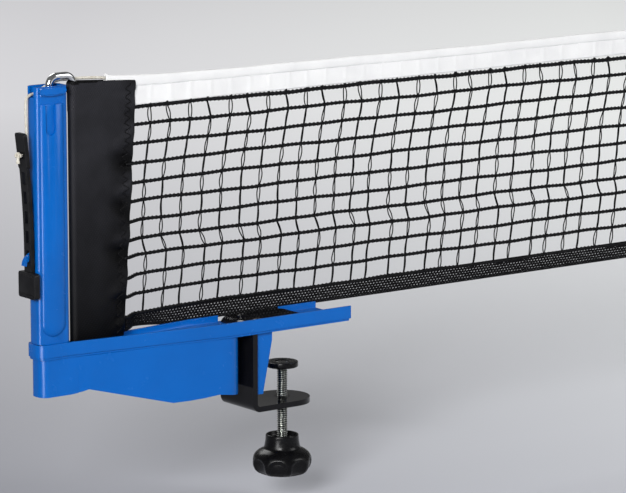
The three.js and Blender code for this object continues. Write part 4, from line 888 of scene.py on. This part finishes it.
# Each crease's height at the seam, its slant, its length and depth, and its half width.
CREASES = (
    (140, 0.25, 9, 0.5, 3.0), (121, -0.5, 15, 0.9, 4.0), (104, 0.2, 17, -1.1, 5.5),
    (92, -0.35, 12, 0.8, 3.5), (74, 0.6, 16, -0.9, 4.5), (63, -0.2, 12, 0.7, 3.2),
    (49, 0.45, 18, -1.0, 5.0), (36, -0.5, 14, 0.9, 4.0), (24, 0.3, 13, -0.7, 3.5),
    (12, -0.2, 9, 0.6, 3.0))
CREASE_DEPTH = 2.1


def puckers(s, z):
    """Creases of a sleeve in mm, s being the distance from its seam and z the height: slanting folds
    that start at the seam and die out towards the rod, and a slow unevenness all over."""
    folds = 0.0
    for height, slant, long, deep, wide in CREASES:
        fold = np.exp(-((z - height - slant * s) / wide) ** 2) * np.exp(-(s / long) ** 2)
        folds = folds + CREASE_DEPTH * deep * fold
    small = 0.5 * np.sin(z / 1.9 + 1.4 * np.sin(z / 7.7)) * np.exp(-(s / 6.0) ** 2)
    slow = 0.25 * np.sin(z / 19 + s / 13) + 0.15 * np.sin(z / 8.3 - s / 9)
    return folds + small + slow * np.clip(s / 8, 0, 1)


def top_edge(share):
    """How far the sleeve's top edge stands above the net's height, at a share of the way to its seam."""
    return 1.3 - 2.6 * share


def left_edge(z):
    """The seam's edge: it curves in towards the bottom and wavers between the net's cords."""
    down = (NET_TOP - z) / (NET_TOP - SLEEVE_BOTTOM)
    return SLEEVE_EDGE + 1.4 - 4.8 * down ** 1.8 + 0.15 * np.cos(2 * np.pi * z / PULL_LENGTH)


def right_edge(z):
    """The far seam's edge, straight but for the same wavering."""
    return FAR_LEFT - 0.4 + 0.15 * np.cos(2 * np.pi * z / PULL_LENGTH)


sleeve_z = np.concatenate([[SLEEVE_BOTTOM], np.arange(SLEEVE_BOTTOM + 0.5, NET_TOP, 0.75), [NET_TOP]])
nose = np.linspace(0, np.pi / 2, 12)
flat = np.linspace(0, 1, 46)[1:]


def sleeve_rings(closed_x, edge_of, nose_radius):
    """Rings of a sleeve at each height: round at the fold, then flat to the seam's edge, front and back,
    with the creases, which the rod keeps away from the fold, and a pinch at each stitch of the seam.
    `edge_of` gives the seam's edge at each height, which wavers as the net pulls it."""
    edge = edge_of(sleeve_z)[:, None]
    way = np.sign(edge - closed_x)
    each_height = 0 * sleeve_z[:, None]
    round_x = closed_x - way * nose_radius * np.cos(nose)[None, :] + each_height
    round_half = (nose_radius * np.sin(nose))[None, :] + each_height
    flat_x = closed_x + (edge - closed_x) * flat[None, :]
    flat_half = nose_radius + (SLEEVE_EDGE_HALF - nose_radius) * flat[None, :] ** 0.8 + each_height
    x = np.concatenate([round_x, flat_x], 1)
    half = np.concatenate([round_half, flat_half], 1)
    z = sleeve_z[:, None] + 0 * x
    from_seam, from_fold = np.abs(edge - x), np.abs(x - closed_x)
    over_tape = np.clip((z - TAPE_BOTTOM + 4) / 4, 0, 1)
    half = np.maximum(half, (tape_half(x, np.maximum(z, TAPE_BOTTOM)) + SLEEVE_WALL + 0.3) * over_tape)
    crease = puckers(from_seam, z) * np.clip((from_fold - 4) / 8, 0, 1)
    crease = crease * (0.35 + 0.65 * np.clip(from_seam / 4, 0, 1))
    crease = np.where(crease < 0, crease * (1 - 0.75 * over_tape), crease)
    pinch = 0.3 + 0.35 * np.sin(2 * np.pi * z / PINCH_LENGTH + 1.7 * np.sin(z / 9))
    pinch = pinch * np.exp(-((from_seam - PINCH_IN) / 1.6) ** 2) * (1 - 0.8 * over_tape)
    lift = top_edge(from_fold / np.abs(edge - closed_x)) * np.clip((z - 118) / (NET_TOP - 118), 0, 1)
    front = on_net(x, z, half + crease - pinch)
    back = on_net(x, z, -half + 0.7 * crease + pinch)
    for side in (front, back):
        side[..., 2] += lift
    rings = np.concatenate([back[:, ::-1], front[:, 1:]], 1)
    return rings if closed_x < 0 else rings[:, ::-1]


for name, cad_node, closed_x, edge_of, nose_radius in (
        ("net_sleeve_sewn", "net_sleeve", ROD_RIGHT, left_edge, NEAR_NOSE),
        ("far_sleeve_sewn", "far_sleeve", FAR_RIGHT - FAR_NOSE, right_edge, FAR_NOSE)):
    rings = sleeve_rings(closed_x, edge_of, nose_radius)
    across_sleeve = lengths_along(rings[len(rings) // 2])
    sleeve = cloth_piece(name, rings, across_sleeve, sleeve_z, black_nylon, SLEEVE_WALL, sharp=70)
    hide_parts(cad_node)
    # How deep the cloth lies in a crease near the seam, from 0 to 1, for the painted shade there.
    place = np.empty(len(sleeve.data.vertices) * 3)
    sleeve.data.vertices.foreach_get("co", place)
    place = place.reshape(-1, 3) / MM
    from_seam = np.abs(edge_of(place[:, 2]) - place[:, 0])
    deep = np.clip(0.4 - 0.55 * puckers(from_seam, place[:, 2]), 0, 1) * np.exp(-(from_seam / 17) ** 4)
    sleeve.data.attributes.new("painted_crease_shade", "FLOAT", "POINT").data.foreach_set("value", deep)
    # The zigzag seam runs down the front, about 3 to 7 mm from the edge: its place goes from column to
    # column of the front cloth and back once each ZIGZAG_LENGTH.
    middle = rings.shape[1] // 2
    front_cloth = rings[:, middle:] if closed_x < 0 else rings[:, middle::-1]
    swing = ZIGZAG_SWING * (2 * np.abs((sleeve_z / ZIGZAG_LENGTH) % 1 * 2 - 1) - 1)
    zigzag = len(flat) + len(nose) - ZIGZAG_IN + swing
    low, rows = np.floor(zigzag).astype(int), np.arange(len(sleeve_z))
    part = (zigzag - low)[:, None]
    seam_path = front_cloth[rows, low] * (1 - part) + front_cloth[rows, low + 1] * part
    seam_path = seam_path[3:-3] - np.array([0, 0.12, 0])
    seam = make_piece(name + "_seam", lattice(swept(seam_path, 0.26, 6)), black_twine, "post")

# ---- Floor and light -----------------------------------------------------------------
# A pale studio floor below the clamp, a soft lamp on the left in front of it, weaker ones on the right
# and behind, and a small strip for the reflections on the corners.

# Low enough for the knob when the pad is turned all the way down.
FLOOR_HEIGHT, FLOOR_REACH = cad_low.z - 0.0165, 9
NEAR_LEFT, NEAR_RIGHT = (0.31, 0.315, 0.355, 1), (0.7, 0.715, 0.765, 1)
BACK_LEFT, BACK_RIGHT = (0.52, 0.515, 0.545, 1), (0.8, 0.82, 0.81, 1)
FAR_GLOW = 0.29
# The direction of the photograph's view along the floor.
AHEAD_X, AHEAD_Y = 0.598, 0.802
floor_mesh = bpy.data.meshes.new("floor")
floor_mesh.from_pydata(
    [(FLOOR_REACH * x, FLOOR_REACH * y, FLOOR_HEIGHT) for x, y in ((-1, -1), (1, -1), (1, 1), (-1, 1))],
    [], [(0, 1, 2, 3)])
floor = added("floor", floor_mesh)
floor_material, tree, shader = blank_material("pale_floor")
settle(shader, Roughness=0.9, Specular_IOR_Level=0.1, Emission_Strength=1.0)
spot = node(tree, "SeparateXYZ", Vector=surface_place(tree))
ahead = sums(
    tree, "MULTIPLY_ADD", spot.outputs[0], AHEAD_X, sums(tree, "MULTIPLY", spot.outputs[1], AHEAD_Y))
beside = sums(
    tree, "MULTIPLY_ADD", spot.outputs[0], AHEAD_Y, sums(tree, "MULTIPLY", spot.outputs[1], -AHEAD_X))
# Painted light and shade on the floor: its tone grows with the distance, and from the left to
# the right of the view.
depth = ranged(tree, ahead, -0.1, 1.6)
aside = ranged(tree, beside, -0.25, 0.35)
near = mixed(tree, aside, NEAR_LEFT, NEAR_RIGHT)
far = mixed(tree, aside, BACK_LEFT, BACK_RIGHT)
join(tree, mixed(tree, depth, near, far), shader.inputs["Base Color"])
# Far away the floor turns into a pale backdrop of its own brightness, which the object's light never
# meets.
rays = node(tree, "LightPath")
seen = sums(tree, "MAXIMUM", rays.outputs["Is Camera Ray"], rays.outputs["Is Glossy Ray"])
seen = sums(tree, "MAXIMUM", seen, rays.outputs["Is Transmission Ray"])
glow = sums(tree, "MULTIPLY", sums(tree, "MULTIPLY", seen, depth), FAR_GLOW)
join(tree, mixed(tree, glow, (0, 0, 0, 1), (1, 1, 1, 1)), shader.inputs["Emission Color"])
floor_mesh.materials.append(floor_material)

world = bpy.data.worlds.new("studio")
scene.world = world
world.use_nodes = True
settle(world.node_tree.nodes["Background"], Color=(1, 1, 1, 1), Strength=0.16)


def lamp(name, place, size, power, target=AIM):
    """A square soft lamp that faces the target, with its size in metres and its power in watts."""
    light = bpy.data.lights.new(name, "AREA")
    light.size = size
    light.energy = power
    made = added(name, light)
    made.location = place
    made.rotation_euler = (Vector(place) - Vector(target)).to_track_quat("Z", "Y").to_euler()
    return made


lamp("lamp_left", (-2.6, -2.1, 1.3), 1.1, 128)
lamp("lamp_right", (2.2, -2.6, 1.6), 1.8, 50)
lamp("lamp_behind", (0.4, 2.4, 2.0), 1.4, 28)
# A small strip close by draws the bright lines on the rounded upright corners, and lights nothing else.
strip = lamp("lamp_strip", (-0.36, -0.165, 0.02), 0.13, 1.1, target=(-0.153, -0.008, 0.02))
strip.data.shape = "RECTANGLE"
strip.data.size_y = 0.21
strip.visible_diffuse = False
strip.visible_camera = False
